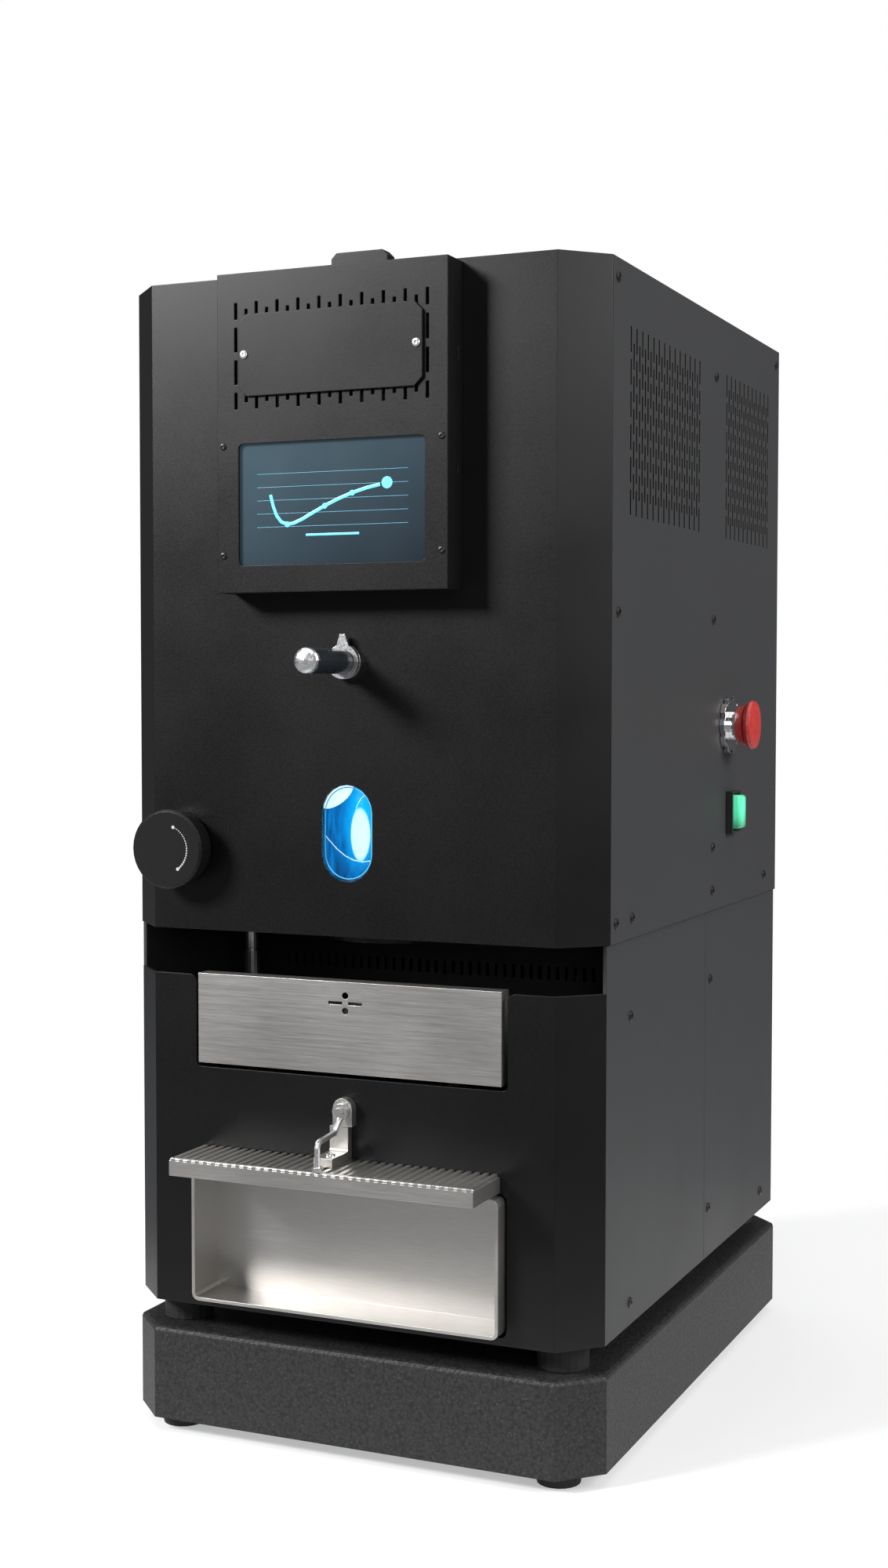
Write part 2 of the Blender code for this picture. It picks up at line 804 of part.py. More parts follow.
def make_cooling_bay(root):
    h = lower_half - sheet - seam
    c = lower_cut - (2 - math.sqrt(2)) * (sheet + seam)
    y0 = sheet + seam
    bm = bmesh.new()
    plan = [(-h + c, y0), (h - c, y0), (h, y0 + c), (h, deck_depth), (-h, deck_depth), (-h, y0 + c)]
    prism(bm, plan, "Z", deck_bottom, deck_top)
    deck = piece("tray_deck", bm, "zinc_steel", root)
    bm = bmesh.new()
    for sign in (1, -1):
        x = sign * rail_side
        low = (x - rail_width / 2, 2 * y0, deck_top - sheet / 2)
        block(bm, low, (x + rail_width / 2, deck_depth - y0, basket_bottom - seam))
    add(deck, bm)
    bm = bmesh.new()
    bar(bm, fan_bore_radius, "Z", (0, chamber_depth), deck_bottom - overrun, basket_bottom + overrun)
    cut(deck, bm)

    bm = bmesh.new()
    low = (-h, deck_depth + seam, deck_bottom)
    block(bm, low, (h, deck_depth + seam + sheet, upper_bottom - seam))
    panel = piece("bay_back_panel", bm, "side_grey", root)
    bm = bmesh.new()
    slot_top = upper_bottom - bay_slot_drop
    for i in range(bay_slot_count):
        x = (i - (bay_slot_count - 1) / 2) * bay_slot_pitch
        low = (x - bay_slot_width / 2, deck_depth - overrun, slot_top - bay_slot_height)
        block(bm, low, (x + bay_slot_width / 2, deck_depth + overrun, slot_top))
    cut(panel, bm)

    bm = bmesh.new()
    sleeve_top = deck_top + conduit_sleeve_height
    profile = [(0, deck_top + seam), (conduit_sleeve_radius, deck_top + seam)]
    profile += [(conduit_sleeve_radius, sleeve_top), (conduit_rod_radius, sleeve_top)]
    profile += [(conduit_rod_radius, upper_bottom - seam), (0, upper_bottom - seam)]
    revolve(bm, profile, "Z", (-conduit_side, conduit_depth), 16)
    piece("conduit_post", bm, "bright_chrome", root)


def make_tray(root):
    slide = pivot("tray_slide", (0, 0, tray_bottom), root)
    half = tray_width / 2
    y0 = -tray_proud
    y1 = y0 + tray_front_depth
    bm = bmesh.new()
    block(bm, (-half, y0, tray_bottom), (half, y1, tray_bottom + tray_front_height))
    hollow(bm, (0, 1, 0), thin_sheet)
    front = piece("tray_front", bm, "brushed_stainless", slide)
    bm = bmesh.new()
    z = tray_bottom + tray_front_height - symbol_drop
    w = symbol_bar_width / 2
    for sign in (1, -1):
        a, b = sorted((sign * symbol_gap, sign * (symbol_gap + symbol_bar_length)))
        block(bm, (a, y0 - overrun, z - w), (b, y0 + overrun, z + w))
        dot = (0, z + sign * symbol_dot_rise)
        bar(bm, symbol_dot_radius, "Y", dot, y0 - overrun, y0 + overrun, small_steps)
    cut(front, bm)

    half = basket_width / 2
    low = (-half, y1 + seam, basket_bottom)
    bm = bmesh.new()
    block(bm, low, (half, y1 + seam + basket_length, basket_bottom + basket_height))
    hollow(bm, (0, 0, 1), bin_sheet)
    basket = piece("tray_basket", bm, "brushed_stainless", slide)
    bm = bmesh.new()
    for row in (0, 1):
        y = y1 + seam + basket_length * (1 + 2 * row) / 4
        for i in range(basket_slots_across):
            x = (i - (basket_slots_across - 1) / 2) * basket_slot_pitch
            low = (x - basket_slot_width / 2, y - basket_slot_length / 2, basket_bottom - overrun)
            high = (x + basket_slot_width / 2, y + basket_slot_length / 2, basket_bottom + overrun)
            block(bm, low, high)
    cut(basket, bm)


def make_cooling_fan(root):
    top = deck_bottom - seam
    bottom = top - fan_thickness
    half = fan_size / 2
    bm = bmesh.new()
    block(bm, (-half, chamber_depth - half, bottom), (half, chamber_depth + half, top))
    frame = piece("cooling_fan_frame", bm, "black_plastic", root)
    bm = bmesh.new()
    bar(bm, fan_bore_radius, "Z", (0, chamber_depth), bottom - overrun, top + overrun)
    cut(frame, bm)
    bm = bmesh.new()
    seat = bottom + fan_seat_thickness
    w = fan_arm_width / 2
    block(bm, (-half + w, chamber_depth - w, bottom), (half - w, chamber_depth + w, seat))
    add(frame, bm)
    bm = bmesh.new()
    bar(bm, fan_hub_radius, "Z", (0, chamber_depth), bottom, seat, 20)
    add(frame, bm)

    spin = pivot("cooling_fan_spin", (0, chamber_depth, bottom), root)
    bm = bmesh.new()
    low = seat + seam
    high = low + fan_hub_height
    bar(bm, fan_hub_radius, "Z", (0, chamber_depth), low, high, foot_steps)
    rotor = piece("cooling_fan_rotor", bm, "black_plastic", spin)
    bm = bmesh.new()
    middle = Vector((0, chamber_depth, (low + high) / 2))
    for i in range(fan_blade_count):
        blade = block(
            bm,
            (fan_hub_radius * fan_root_share, -fan_blade_chord / 2, -fan_blade_thickness / 2),
            (fan_blade_reach, fan_blade_chord / 2, fan_blade_thickness / 2),
        )
        turn = Matrix.Rotation(math.tau * i / fan_blade_count, 4, "Z")
        place = Matrix.Translation(middle) @ turn @ Matrix.Rotation(fan_blade_pitch, 4, "X")
        bmesh.ops.transform(bm, matrix=place, verts=blade)
    add(rotor, bm)


# Chaff drawer, shelf and catch


def make_chaff_drawer(root):
    slide = pivot("chaff_slide", (0, 0, chaff_bottom), root)
    middle = (0, (chaff_bottom + chaff_top) / 2)
    y0 = -chaff_proud
    y1 = y0 + chaff_dish_depth
    bm = bmesh.new()
    outline = rounded_rectangle(middle, chaff_width, chaff_front_height, chaff_corner)
    prism(bm, outline, "Y", y0, y1)
    dish = piece("chaff_drawer_front", bm, "brushed_stainless", slide)
    bm = bmesh.new()
    inner = rounded_rectangle(
        middle,
        chaff_width - 2 * chaff_wall,
        chaff_front_height - 2 * chaff_wall,
        chaff_corner - chaff_wall,
    )
    prism(bm, inner, "Y", y0 - overrun, y1 - thin_sheet)
    cut(dish, bm)

    half = bin_width / 2
    low = lower_bottom + bin_rise
    bm = bmesh.new()
    block(bm, (-half, bin_front, low), (half, bin_front + bin_length, low + bin_height))
    hollow(bm, (0, 0, 1), bin_sheet)
    bin_body = piece("chaff_drawer_bin", bm, "zinc_steel", slide)
    bm = bmesh.new()
    rear = bin_front + bin_length
    bar(bm, duct_radius, "Y", (0, low + bin_height / 2), rear - overrun, rear + overrun, duct_steps)
    cut(bin_body, bm)


def make_shelf(root):
    half = shelf_width / 2
    pitch = shelf_width / rib_count
    plate = shelf_top - rib_height
    crest = pitch * rib_share / 2
    outline = [(half, shelf_bottom), (half, plate)]
    for i in reversed(range(rib_count)):
        x = (i - (rib_count - 1) / 2) * pitch
        outline += [(x + crest, plate), (x + crest, shelf_top), (x - crest, shelf_top), (x - crest, plate)]
    outline += [(-half, plate), (-half, shelf_bottom)]
    bm = bmesh.new()
    prism(bm, outline, "Y", -shelf_reach, -seam)
    shelf = piece("ribbed_shelf", bm, "brushed_stainless", root)
    bm = bmesh.new()
    low = (-half + thin_sheet, -shelf_reach + thin_sheet, shelf_bottom - overrun)
    block(bm, low, (half - thin_sheet, -seam - thin_sheet, plate - thin_sheet))
    cut(shelf, bm)

    bm = bmesh.new()
    foot = shelf_top + seam
    y = -seam
    t = bracket_sheet
    r = bracket_fold
    high = shelf_top + catch_block_rise - seam
    outline = [(y, foot), (y, high), (y - t, high)]
    outline += arc((y - t - r, foot + t + r), r, 0, -math.pi / 2)
    outline += [(-bracket_foot, foot + t), (-bracket_foot, foot)]
    left = -bracket_shift - bracket_width / 2
    prism(bm, outline, "X", left, left + bracket_width)
    piece("shelf_bracket", bm, "brushed_stainless", root)


def make_catch(root):
    face = -seam
    block_front = face - catch_block_thickness
    hub_back = block_front - seam
    hub_front = hub_back - catch_hub_thickness
    half = catch_width / 2
    top = shelf_top + catch_block_rise + catch_block_height
    bottom = top - catch_block_height
    bm = bmesh.new()
    outline = [(-half, bottom), (half, bottom)] + arc((0, top - half), half, 0, math.pi, 8)
    prism(bm, outline, "Y", block_front, face)
    stock = piece("catch_block", bm, "brushed_stainless", root)
    bm = bmesh.new()
    front = hub_front - seam
    pin = catch_pin_radius
    head = front - screw_head_height
    profile = [(0, face - catch_block_thickness / 2), (pin, face - catch_block_thickness / 2), (pin, front)]
    profile += [(screw_head_radius, front), (screw_head_radius, head), (0, head)]
    revolve(bm, profile, "Y", (0, catch_pivot), small_steps)
    add(stock, bm)

    swing = pivot("catch_swing", (0, hub_back, catch_pivot), root)
    bm = bmesh.new()
    bar(bm, catch_hub_radius, "Y", (0, catch_pivot), hub_front, hub_back, 16)
    lever = piece("catch_lever", bm, "bright_chrome", swing)
    pad_bottom = shelf_top + 2 * seam
    middle = (hub_front + hub_back) / 2
    corners = [
        (0, middle, catch_pivot - catch_pin_radius - catch_rod_radius),
        (0, -catch_knee_reach, catch_pivot - catch_knee_drop),
        (0, -catch_reach, catch_pivot - catch_elbow_drop),
        (0, -catch_reach, pad_bottom + catch_pad_height / 2),
    ]
    bm = bmesh.new()
    sweep(bm, bent_points(corners, catch_bend, 2), catch_rod_radius, 8)
    add(lever, bm)
    bm = bmesh.new()
    bar(bm, catch_pad_radius, "Z", (0, -catch_reach), pad_bottom, pad_bottom + catch_pad_height, 12)
    add(lever, bm)
    bm = bmesh.new()
    bore = bore_for(catch_pin_radius, small_steps)
    bar(bm, bore, "Y", (0, catch_pivot), hub_front - overrun, hub_back + overrun, small_steps)
    cut(lever, bm)


# Upper housing


def make_upper_housing(root):
    h = upper_half
    bm = bmesh.new()
    folded_cover(bm, h, corner_cut, upper_bottom, upper_top)
    cover = piece("upper_front_cover", bm, "satin_black", root)
    bm = bmesh.new()
    window = rounded_rectangle((0, window_middle), window_width, window_height, window_width / 2, 5)
    prism(bm, window, "Y", -overrun, overrun)
    bar(bm, sampler_tube_radius + seam, "Y", (0, sampler_height), -overrun, overrun)
    bar(bm, knob_shaft_radius + seam, "Y", (-knob_side, knob_height), -overrun, overrun, small_steps)
    z = (display_top + display_bottom) / 2 - wiring_hole_height / 2
    low = (-wiring_hole_width / 2, -overrun, z)
    block(bm, low, (wiring_hole_width / 2, overrun, z + wiring_hole_height))
    cut(cover, bm)

    for name, sign in (("upper_side_right", 1), ("upper_side_left", -1)):
        bm = bmesh.new()
        xs = sorted((sign * h, sign * (h - sheet)))
        low = (xs[0], corner_cut + seam, upper_bottom)
        block(bm, low, (xs[1], back - corner_cut - seam, upper_top))
        side = piece(name, bm, "side_grey", root)
        cut(side, staggered_vents() if sign > 0 else plain_vents())

    bm = bmesh.new()
    folded_cover(bm, h, corner_cut, upper_bottom, upper_top, rear=True)
    rear = piece("upper_rear_cover", bm, "side_grey", root)
    bm = bmesh.new()
    rear_slots(bm, upper_top - vent_drop)
    rear_slots(bm, upper_bottom + blower_rise + rear_slot_height / 2)
    cut(rear, bm)

    plan = cabinet_outline(h, 0, back, corner_cut, sheet + seam)
    bm = bmesh.new()
    prism(bm, plan, "Z", upper_top - sheet, upper_top)
    top = piece("top_cover", bm, "satin_black", root)
    bm = bmesh.new()
    bar(bm, feed_radius, "Z", (0, chamber_depth), upper_top - overrun, upper_top + overrun)
    cut(top, bm)

    bm = bmesh.new()
    prism(bm, plan, "Z", upper_bottom, floor_top)
    floor = piece("upper_floor", bm, "zinc_steel", root)
    here = (0, chamber_depth)
    chute_bottom = upper_bottom - chute_drop
    chute_top = floor_top + chute_top_rise
    bm = bmesh.new()
    bar(bm, chute_radius, "Z", here, chute_bottom, chute_top)
    add(floor, bm)
    bm = bmesh.new()
    bar(bm, chute_radius - chute_wall, "Z", here, chute_bottom - overrun, chute_top + overrun)
    bar(bm, duct_radius + seam, "Z", (0, back - duct_back), chute_bottom, chute_top, duct_steps)
    cut(floor, bm)


def staggered_vents():
    """Two fields of upright slots; each second column is half a row lower and one slot shorter."""
    bm = bmesh.new()
    top = upper_top - vent_drop
    for first, columns in ((front_field_depth, front_field_columns), (rear_field_depth, rear_field_columns)):
        for column in range(2 * columns - 1):
            y = first + column * vent_column_pitch / 2
            shift = column % 2
            for row in range(vent_rows - shift):
                z = top - (row + shift / 2) * vent_row_pitch
                low = (upper_half - overrun, y - vent_slot_width / 2, z - vent_slot_height)
                block(bm, low, (upper_half + overrun, y + vent_slot_width / 2, z))
    x = upper_half
    bar(bm, stop_barrel_radius + seam, "X", (stop_depth, stop_height), x - overrun, x + overrun)
    w = rocker_body_width / 2 + seam
    t = rocker_body_height / 2 + seam
    low = (x - overrun, rocker_depth - w, rocker_height - t)
    block(bm, low, (x + overrun, rocker_depth + w, rocker_height + t))
    return bm


def plain_vents():
    """Long upright slots over the same two fields."""
    bm = bmesh.new()
    top = upper_top - vent_drop
    bottom = top - vent_rows * vent_row_pitch
    for first, columns in ((front_field_depth, front_field_columns), (rear_field_depth, rear_field_columns)):
        span = (columns - 1) * vent_column_pitch
        for i in range(plain_slot_count):
            y = first + span * i / (plain_slot_count - 1)
            low = (-upper_half - overrun, y - vent_slot_width / 2, bottom)
            block(bm, low, (-upper_half + overrun, y + vent_slot_width / 2, top))
    return bm


# Display


def make_display(root):
    half = display_width / 2
    bm = bmesh.new()
    block(bm, (-half, display_front, display_bottom), (half, -seam, display_top))
    hollow(bm, (0, 1, 0), thin_sheet)
    box = piece("display_box", bm, "satin_black", root)
    bm = bmesh.new()
    window = rounded_rectangle((0, screen_middle), screen_width, screen_height, screen_corner)
    prism(bm, window, "Y", display_front - overrun, display_front + overrun)
    cut(box, bm)
    cut(box, display_slots())

    bm = bmesh.new()
    glass = display_front + thin_sheet + seam
    w = screen_width / 2 + screen_margin
    t = screen_height / 2 + screen_margin
    low = (-w, glass, screen_middle - t)
    block(bm, low, (w, glass + screen_thickness, screen_middle + t))
    piece("display_screen", bm, "screen_glass", root)

    bm = bmesh.new()
    w = plate_width / 2
    t = plate_height / 2
    c = plate_corner
    outline = [(w - c, -t), (w, -t + c), (w, t - c), (w - c, t)]
    outline += [(-x, z) for x, z in reversed(outline)]
    outline = [(x, plate_middle + z) for x, z in outline]
    face = display_front - seam
    prism(bm, outline, "Y", face - plate_thickness, face)
    piece("name_plate", bm, "satin_black", root)


def display_slots():
    """Upright slots round the plate, whose inner ends run under it, and slits in the box's sides."""
    bm = bmesh.new()
    y0 = display_front - overrun
    y1 = display_front + overrun
    w = display_slot_width / 2
    half = plate_height / 2
    for sign in (1, -1):
        for i in range(2 * display_end_slots + 1):
            x = (i - display_end_slots) * display_slot_pitch / 2
            reach = display_slot_reach if i % 2 else display_short_reach
            ends = sorted((sign * (half - display_slot_tuck), sign * (half + reach)))
            block(bm, (x - w, y0, plate_middle + ends[0]), (x + w, y1, plate_middle + ends[1]))
        start = column_gap / 2
        for length in (column_long, column_short):
            for side in (1, -1):
                ends = sorted((sign * start, sign * (start + length)))
                x = side * column_side
                block(bm, (x - w, y0, plate_middle + ends[0]), (x + w, y1, plate_middle + ends[1]))
            start += length + column_gap
    x = display_width / 2
    middle = display_front + display_reach - slit_depth
    for drop, length in ((0, slit_long), (slit_spacing, slit_short)):
        z = display_top - slit_drop - drop
        for side in (1, -1):
            low = (side * x - overrun / 2, middle - slit_width / 2, z - length)
            block(bm, low, (side * x + overrun / 2, middle + slit_width / 2, z))
    return bm


# Chamber and bean path


def make_chamber(root):
    here = (0, chamber_depth)
    outer = chamber_radius
    inner = chamber_radius - chamber_wall

    bm = bmesh.new()
    grow = window_width + 2 * glass_overlap
    outline = rounded_rectangle((0, window_middle), grow, window_height + 2 * glass_overlap, grow / 2, 5)
    prism(bm, outline, "Y", sheet + seam, sheet + seam + glass_thickness)
    piece("sight_glass", bm, "clear_glass", root)

    bm = bmesh.new()
    tube(bm, outer, inner, "Z", here, glass_bottom, glass_bottom + glass_height)
    piece("chamber_glass", bm, "clear_glass", root)

    bm = bmesh.new()
    roof = head_top - sheet
    profile = [(outer, head_bottom), (outer, head_top), (head_neck_radius, head_top)]
    profile += [(head_neck_radius, roof), (outer - sheet, roof), (outer - sheet, head_bottom)]
    revolve(bm, profile, "Z", here)
    head = piece("chamber_head", bm, "brushed_stainless", root)
    bm = bmesh.new()
    bar(bm, sampler_tube_radius + seam, "Y", (0, sampler_height), 0, chamber_depth, 16)
    cut(head, bm)
    bm = bmesh.new()
    port = head_top - head_port_drop
    bar(bm, head_port_radius, "Y", (0, port), chamber_depth, chamber_depth + 2 * outer, duct_steps)
    cut(head, bm)


def make_air_ring(root):
    """A closed channel round the chamber's foot, with slots inwards and a rear port for the heater."""
    here = (0, chamber_depth)
    inner = chamber_radius - chamber_wall
    w = air_ring_wall
    bm = bmesh.new()
    tube(bm, air_ring_radius, inner, "Z", here, ring_bottom, ring_top)
    ring = piece("air_ring", bm, "brushed_stainless", root)
    bm = bmesh.new()
    for sign in (1, -1):
        x = sign * (air_ring_radius - air_ring_leg_radius)
        low = floor_top + seam
        bar(bm, air_ring_leg_radius, "Z", (x, chamber_depth), low, ring_bottom + w / 2, small_steps)
    add(ring, bm)
    bm = bmesh.new()
    tube(bm, air_ring_radius - w, chamber_radius, "Z", here, ring_bottom + w, ring_top - w)
    cut(ring, bm)
    bm = bmesh.new()
    z = (ring_bottom + ring_top) / 2
    for i in range(air_slot_count):
        slot = block(
            bm,
            (inner - chamber_wall, -air_slot_width / 2, z - air_slot_height / 2),
            (chamber_radius + chamber_wall, air_slot_width / 2, z + air_slot_height / 2),
        )
        turn = Matrix.Rotation(math.tau * (i + 0.5) / air_slot_count, 4, "Z")
        place = Matrix.Translation((0, chamber_depth, 0)) @ turn
        bmesh.ops.transform(bm, matrix=place, verts=slot)
    cut(ring, bm)
    bm = bmesh.new()
    half = heater_neck_width / 2 - 2 * w
    low = (-half, chamber_depth + chamber_radius + chamber_wall, ring_bottom + 2 * w)
    block(bm, low, (half, chamber_depth + air_ring_radius + overrun, ring_top - 2 * w))
    cut(ring, bm)


def make_bean_gate(root):
    slide = pivot("gate_slide", (0, chamber_depth, gate_bottom), root)
    half = gate_width / 2
    bm = bmesh.new()
    low = (-half, chamber_depth - half, gate_bottom)
    block(bm, low, (half, chamber_depth + half, gate_top))
    piece("bean_gate", bm, "brushed_stainless", slide)


def make_feed(root):
    here = (0, chamber_depth)
    top = upper_top - sheet - seam
    cone = top - funnel_cone_height
    low = head_top - sheet
    neck = head_neck_radius - seam
    w = funnel_wall
    bm = bmesh.new()
    profile = [(neck - w, low), (neck, low), (neck, cone), (funnel_mouth_radius, top)]
    profile += [(funnel_mouth_radius - w, top), (neck - w, cone)]
    revolve(bm, profile, "Z", here)
    piece("feed_funnel", bm, "brushed_stainless", root)

    bottom = upper_top + seam
    hinge_y = lid_front + lid_length
    hinge_z = bottom + hinge_knuckle_radius
    swing = pivot("lid_swing", (0, hinge_y, hinge_z), root)
    half = lid_width / 2
    bm = bmesh.new()
    rear = hinge_y - hinge_ear_depth / 2 - hinge_swing_gap
    block(bm, (-half, lid_front, bottom), (half, rear, bottom + lid_thickness))
    lid = piece("feed_lid", bm, "satin_black", swing)
    bm = bmesh.new()
    w = lid_handle_width / 2
    top = upper_top + lid_handle_height
    c = lid_handle_cut
    foot = bottom + seam
    outline = [(-w, foot), (w, foot), (w, top - c), (w - c, top), (-w + c, top), (-w, top - c)]
    prism(bm, outline, "Y", lid_front, lid_front + lid_handle_depth)
    add(lid, bm)
    bm = bmesh.new()
    half = hinge_knuckle_width / 2
    block(bm, (-half, rear - lid_thickness, bottom), (half, hinge_y, bottom + lid_thickness))
    add(lid, bm)
    bm = bmesh.new()
    bar(bm, hinge_knuckle_radius, "X", (hinge_y, hinge_z), -half, half, 16)
    add(lid, bm)
    bm = bmesh.new()
    bore = bore_for(hinge_pin_radius, small_steps)
    bar(bm, bore, "X", (hinge_y, hinge_z), -half - overrun, half + overrun, small_steps)
    cut(lid, bm)

    bm = bmesh.new()
    ear = half + seam + hinge_ear_width
    y0 = hinge_y - hinge_ear_depth / 2
    y1 = hinge_y + hinge_ear_depth / 2
    z1 = hinge_z + hinge_ear_rise
    block(bm, (half + seam, y0, bottom), (ear, y1, z1))
    block(bm, (-ear, y0, bottom), (-half - seam, y1, z1))
    hinge = piece("lid_hinge", bm, "zinc_steel", root)
    bm = bmesh.new()
    end = ear - hinge_ear_width / 2
    bar(bm, hinge_pin_radius, "X", (hinge_y, hinge_z), -end, end, small_steps)
    add(hinge, bm)


# Sampler


def make_sampler(root):
    here = (0, sampler_height)
    turn = pivot("sampler_turn", (0, 0, sampler_height), root)
    back_face = -seam
    ring = sampler_flange_thickness
    front_face = back_face - 2 * ring - sampler_groove
    bore = bore_for(sampler_rod_radius)
    tail = chamber_depth - chamber_radius + sheet + chamber_wall
    r = sampler_flange_radius
    groove = r - sampler_groove_depth
    profile = [(bore, tail), (sampler_tube_radius, tail), (sampler_tube_radius, back_face)]
    profile += [(r, back_face), (r, back_face - ring), (groove, back_face - ring)]
    profile += [(groove, front_face + ring), (r, front_face + ring), (r, front_face), (bore, front_face)]
    bm = bmesh.new()
    revolve(bm, profile, "Y", here)
    sleeve = piece("sampler_sleeve", bm, "bright_chrome", turn)
    bm = bmesh.new()
    w = sampler_tab_width / 2
    t = sampler_tab_tip / 2
    z = sampler_height
    outline = [(-w, z + groove), (w, z + groove), (t, z + sampler_tab_reach), (-t, z + sampler_tab_reach)]
    prism(bm, outline, "Y", front_face, front_face + ring)
    add(sleeve, bm)

    slide = pivot("sampler_slide", (0, 0, sampler_height), turn)
    grip_back = front_face - sampler_gap
    grip_front = grip_back - sampler_grip_length
    end = tail + sampler_scoop_length + sampler_tip_length
    r = sampler_rod_radius
    g = sampler_grip_radius
    profile = [(0, grip_front), (g, grip_front), (g, grip_back), (r, grip_back), (r, end), (0, end)]
    bm = bmesh.new()
    revolve(bm, profile, "Y", here, 20)
    rod = piece("sampler_rod", bm, "black_plastic", slide)
    bm = bmesh.new()
    start = tail + sampler_tip_length
    scoop = r - sampler_scoop_wall
    stop = end - sampler_tip_length / 2
    outline = [(r + overrun, z), (r + overrun, z + r + overrun), (-r - overrun, z + r + overrun)]
    outline += [(-r - overrun, z)] + arc((0, z), scoop, math.pi, math.tau, 8)
    prism(bm, outline, "Y", start, stop)
    cut(rod, bm)

    bm = bmesh.new()
    cap = sampler_cap_radius
    back_of_cap = grip_front - seam
    length = sampler_cap_length
    quarter = math.pi / 2
    profile = [(0, back_of_cap), (cap * cap_root_share, back_of_cap)]
    dome = [quarter * i / 4 for i in range(5)]
    middle = back_of_cap - length * cap_waist_share
    profile += [(cap * math.cos(a), middle - (length - length * cap_waist_share) * math.sin(a)) for a in dome]
    revolve(bm, profile, "Y", here, 20)
    piece("sampler_cap", bm, "bright_chrome", slide)


# Knob


def make_knob(root):
    here = (-knob_side, knob_height)
    turn = pivot("knob_turn", (-knob_side, 0, knob_height), root)
    back_face = -knob_gap
    front_face = back_face - knob_depth
    r = knob_radius
    s = knob_shaft_radius
    profile = [(0, front_face), (r - knob_edge, front_face), (r, front_face + knob_edge)]
    profile += [(r - knob_taper, back_face), (s, back_face), (s, knob_shaft_length), (0, knob_shaft_length)]
    bm = bmesh.new()
    revolve(bm, profile, "Y", here, 36)
    piece("control_knob", bm, "black_plastic", turn)

    bm = bmesh.new()
    face = sheet + seam
    bore = bore_for(s, control_steps)
    bottom = knob_shaft_length + seam
    end = face + control_length
    profile = [(bore, face), (control_radius, face), (control_radius, end), (0, end), (0, bottom)]
    profile += [(bore, bottom)]
    revolve(bm, profile, "Y", here, control_steps)
    piece("rotary_control", bm, "zinc_steel", root)


# Stop button and rocker


def make_stop_button(root):
    here = (stop_depth, stop_height)
    face = upper_half + seam
    front = face + stop_collar_thickness
    tail = face - stop_barrel_length
    bore = bore_for(stop_neck_radius)
    bm = bmesh.new()
    profile = [(bore, tail + sheet), (0, tail + sheet), (0, tail), (stop_barrel_radius, tail)]
    profile += [(stop_barrel_radius, face), (stop_collar_radius, face), (stop_collar_radius, front)]
    profile += [(bore, front)]
    revolve(bm, profile, "X", here)
    collar = piece("stop_collar", bm, "bright_chrome", root)
    bm = bmesh.new()
    for i in range(stop_notches):
        notch = block(
            bm,
            (face - seam / 2, -stop_notch_width / 2, stop_collar_radius - stop_notch_depth),
            (front + overrun, stop_notch_width / 2, stop_collar_radius + overrun),
        )
        turn = Matrix.Rotation(math.tau * i / stop_notches, 4, "X")
        place = Matrix.Translation((0, stop_depth, stop_height)) @ turn
        bmesh.ops.transform(bm, matrix=place, verts=notch)
    cut(collar, bm)

    press = pivot("stop_press", (upper_half, stop_depth, stop_height), root)
    end = upper_half + stop_neck_reach
    bm = bmesh.new()
    bar(bm, stop_neck_radius, "X", here, tail + sheet + stop_travel + seam, end, 24)
    piece("stop_neck", bm, "bright_chrome", press)

    twist = pivot("stop_twist", (end, stop_depth, stop_height), press)
    root_face = end + seam
    rim = stop_head_radius
    crown = root_face + stop_head_depth
    waist = root_face + stop_head_depth * head_waist_share
    profile = [(0, root_face), (stop_head_root, root_face), (rim * head_flare_share, waist)]
    profile += [(rim, waist + (crown - waist) / 3), (rim * head_flare_share, crown - (crown - waist) / 4)]
    profile += [(rim * head_crown_share, crown), (0, crown)]
    bm = bmesh.new()
    revolve(bm, profile, "X", here, 30)
    piece("stop_button", bm, "signal_red", twist)


def make_rocker(root):
    face = upper_half + seam
    front = face + rocker_frame_thickness
    y = rocker_depth
    z = rocker_height
    bm = bmesh.new()
    w = rocker_frame_width / 2
    t = rocker_frame_height / 2
    block(bm, (face, y - w, z - t), (front, y + w, z + t))
    frame = piece("rocker_frame", bm, "black_plastic", root)
    bm = bmesh.new()
    w = rocker_body_width / 2
    t = rocker_body_height / 2
    tail = face - rocker_body_depth
    block(bm, (tail, y - w, z - t), (front - rocker_frame_thickness / 2, y + w, z + t))
    add(frame, bm)
    bm = bmesh.new()
    w = rocker_opening_width / 2
    t = rocker_opening_height / 2
    block(bm, (tail + sheet, y - w, z - t), (front + overrun, y + w, z + t))
    cut(frame, bm)

    axis_x = upper_half + rocker_reach - rocker_radius
    swing = pivot("rocker_swing", (axis_x, y, z), root)
    crown = arc((axis_x, z), rocker_radius, -rocker_spread, rocker_spread, 8)
    keel = rocker_radius * math.sin(rocker_spread) * keel_share
    outline = crown + [(axis_x - rocker_root, z + keel), (axis_x - rocker_root, z - keel)]
    bm = bmesh.new()
    prism(bm, outline, "Y", y - rocker_width / 2, y + rocker_width / 2)
    pivot_place = Vector((axis_x, y, z))
    lean = Matrix.Translation(pivot_place) @ Matrix.Rotation(rocker_tilt, 4, "Y")
    bmesh.ops.transform(bm, matrix=lean @ Matrix.Translation(-pivot_place), verts=bm.verts)
    piece("rocker_button", bm, "lit_green", swing)


# Hot air and chaff


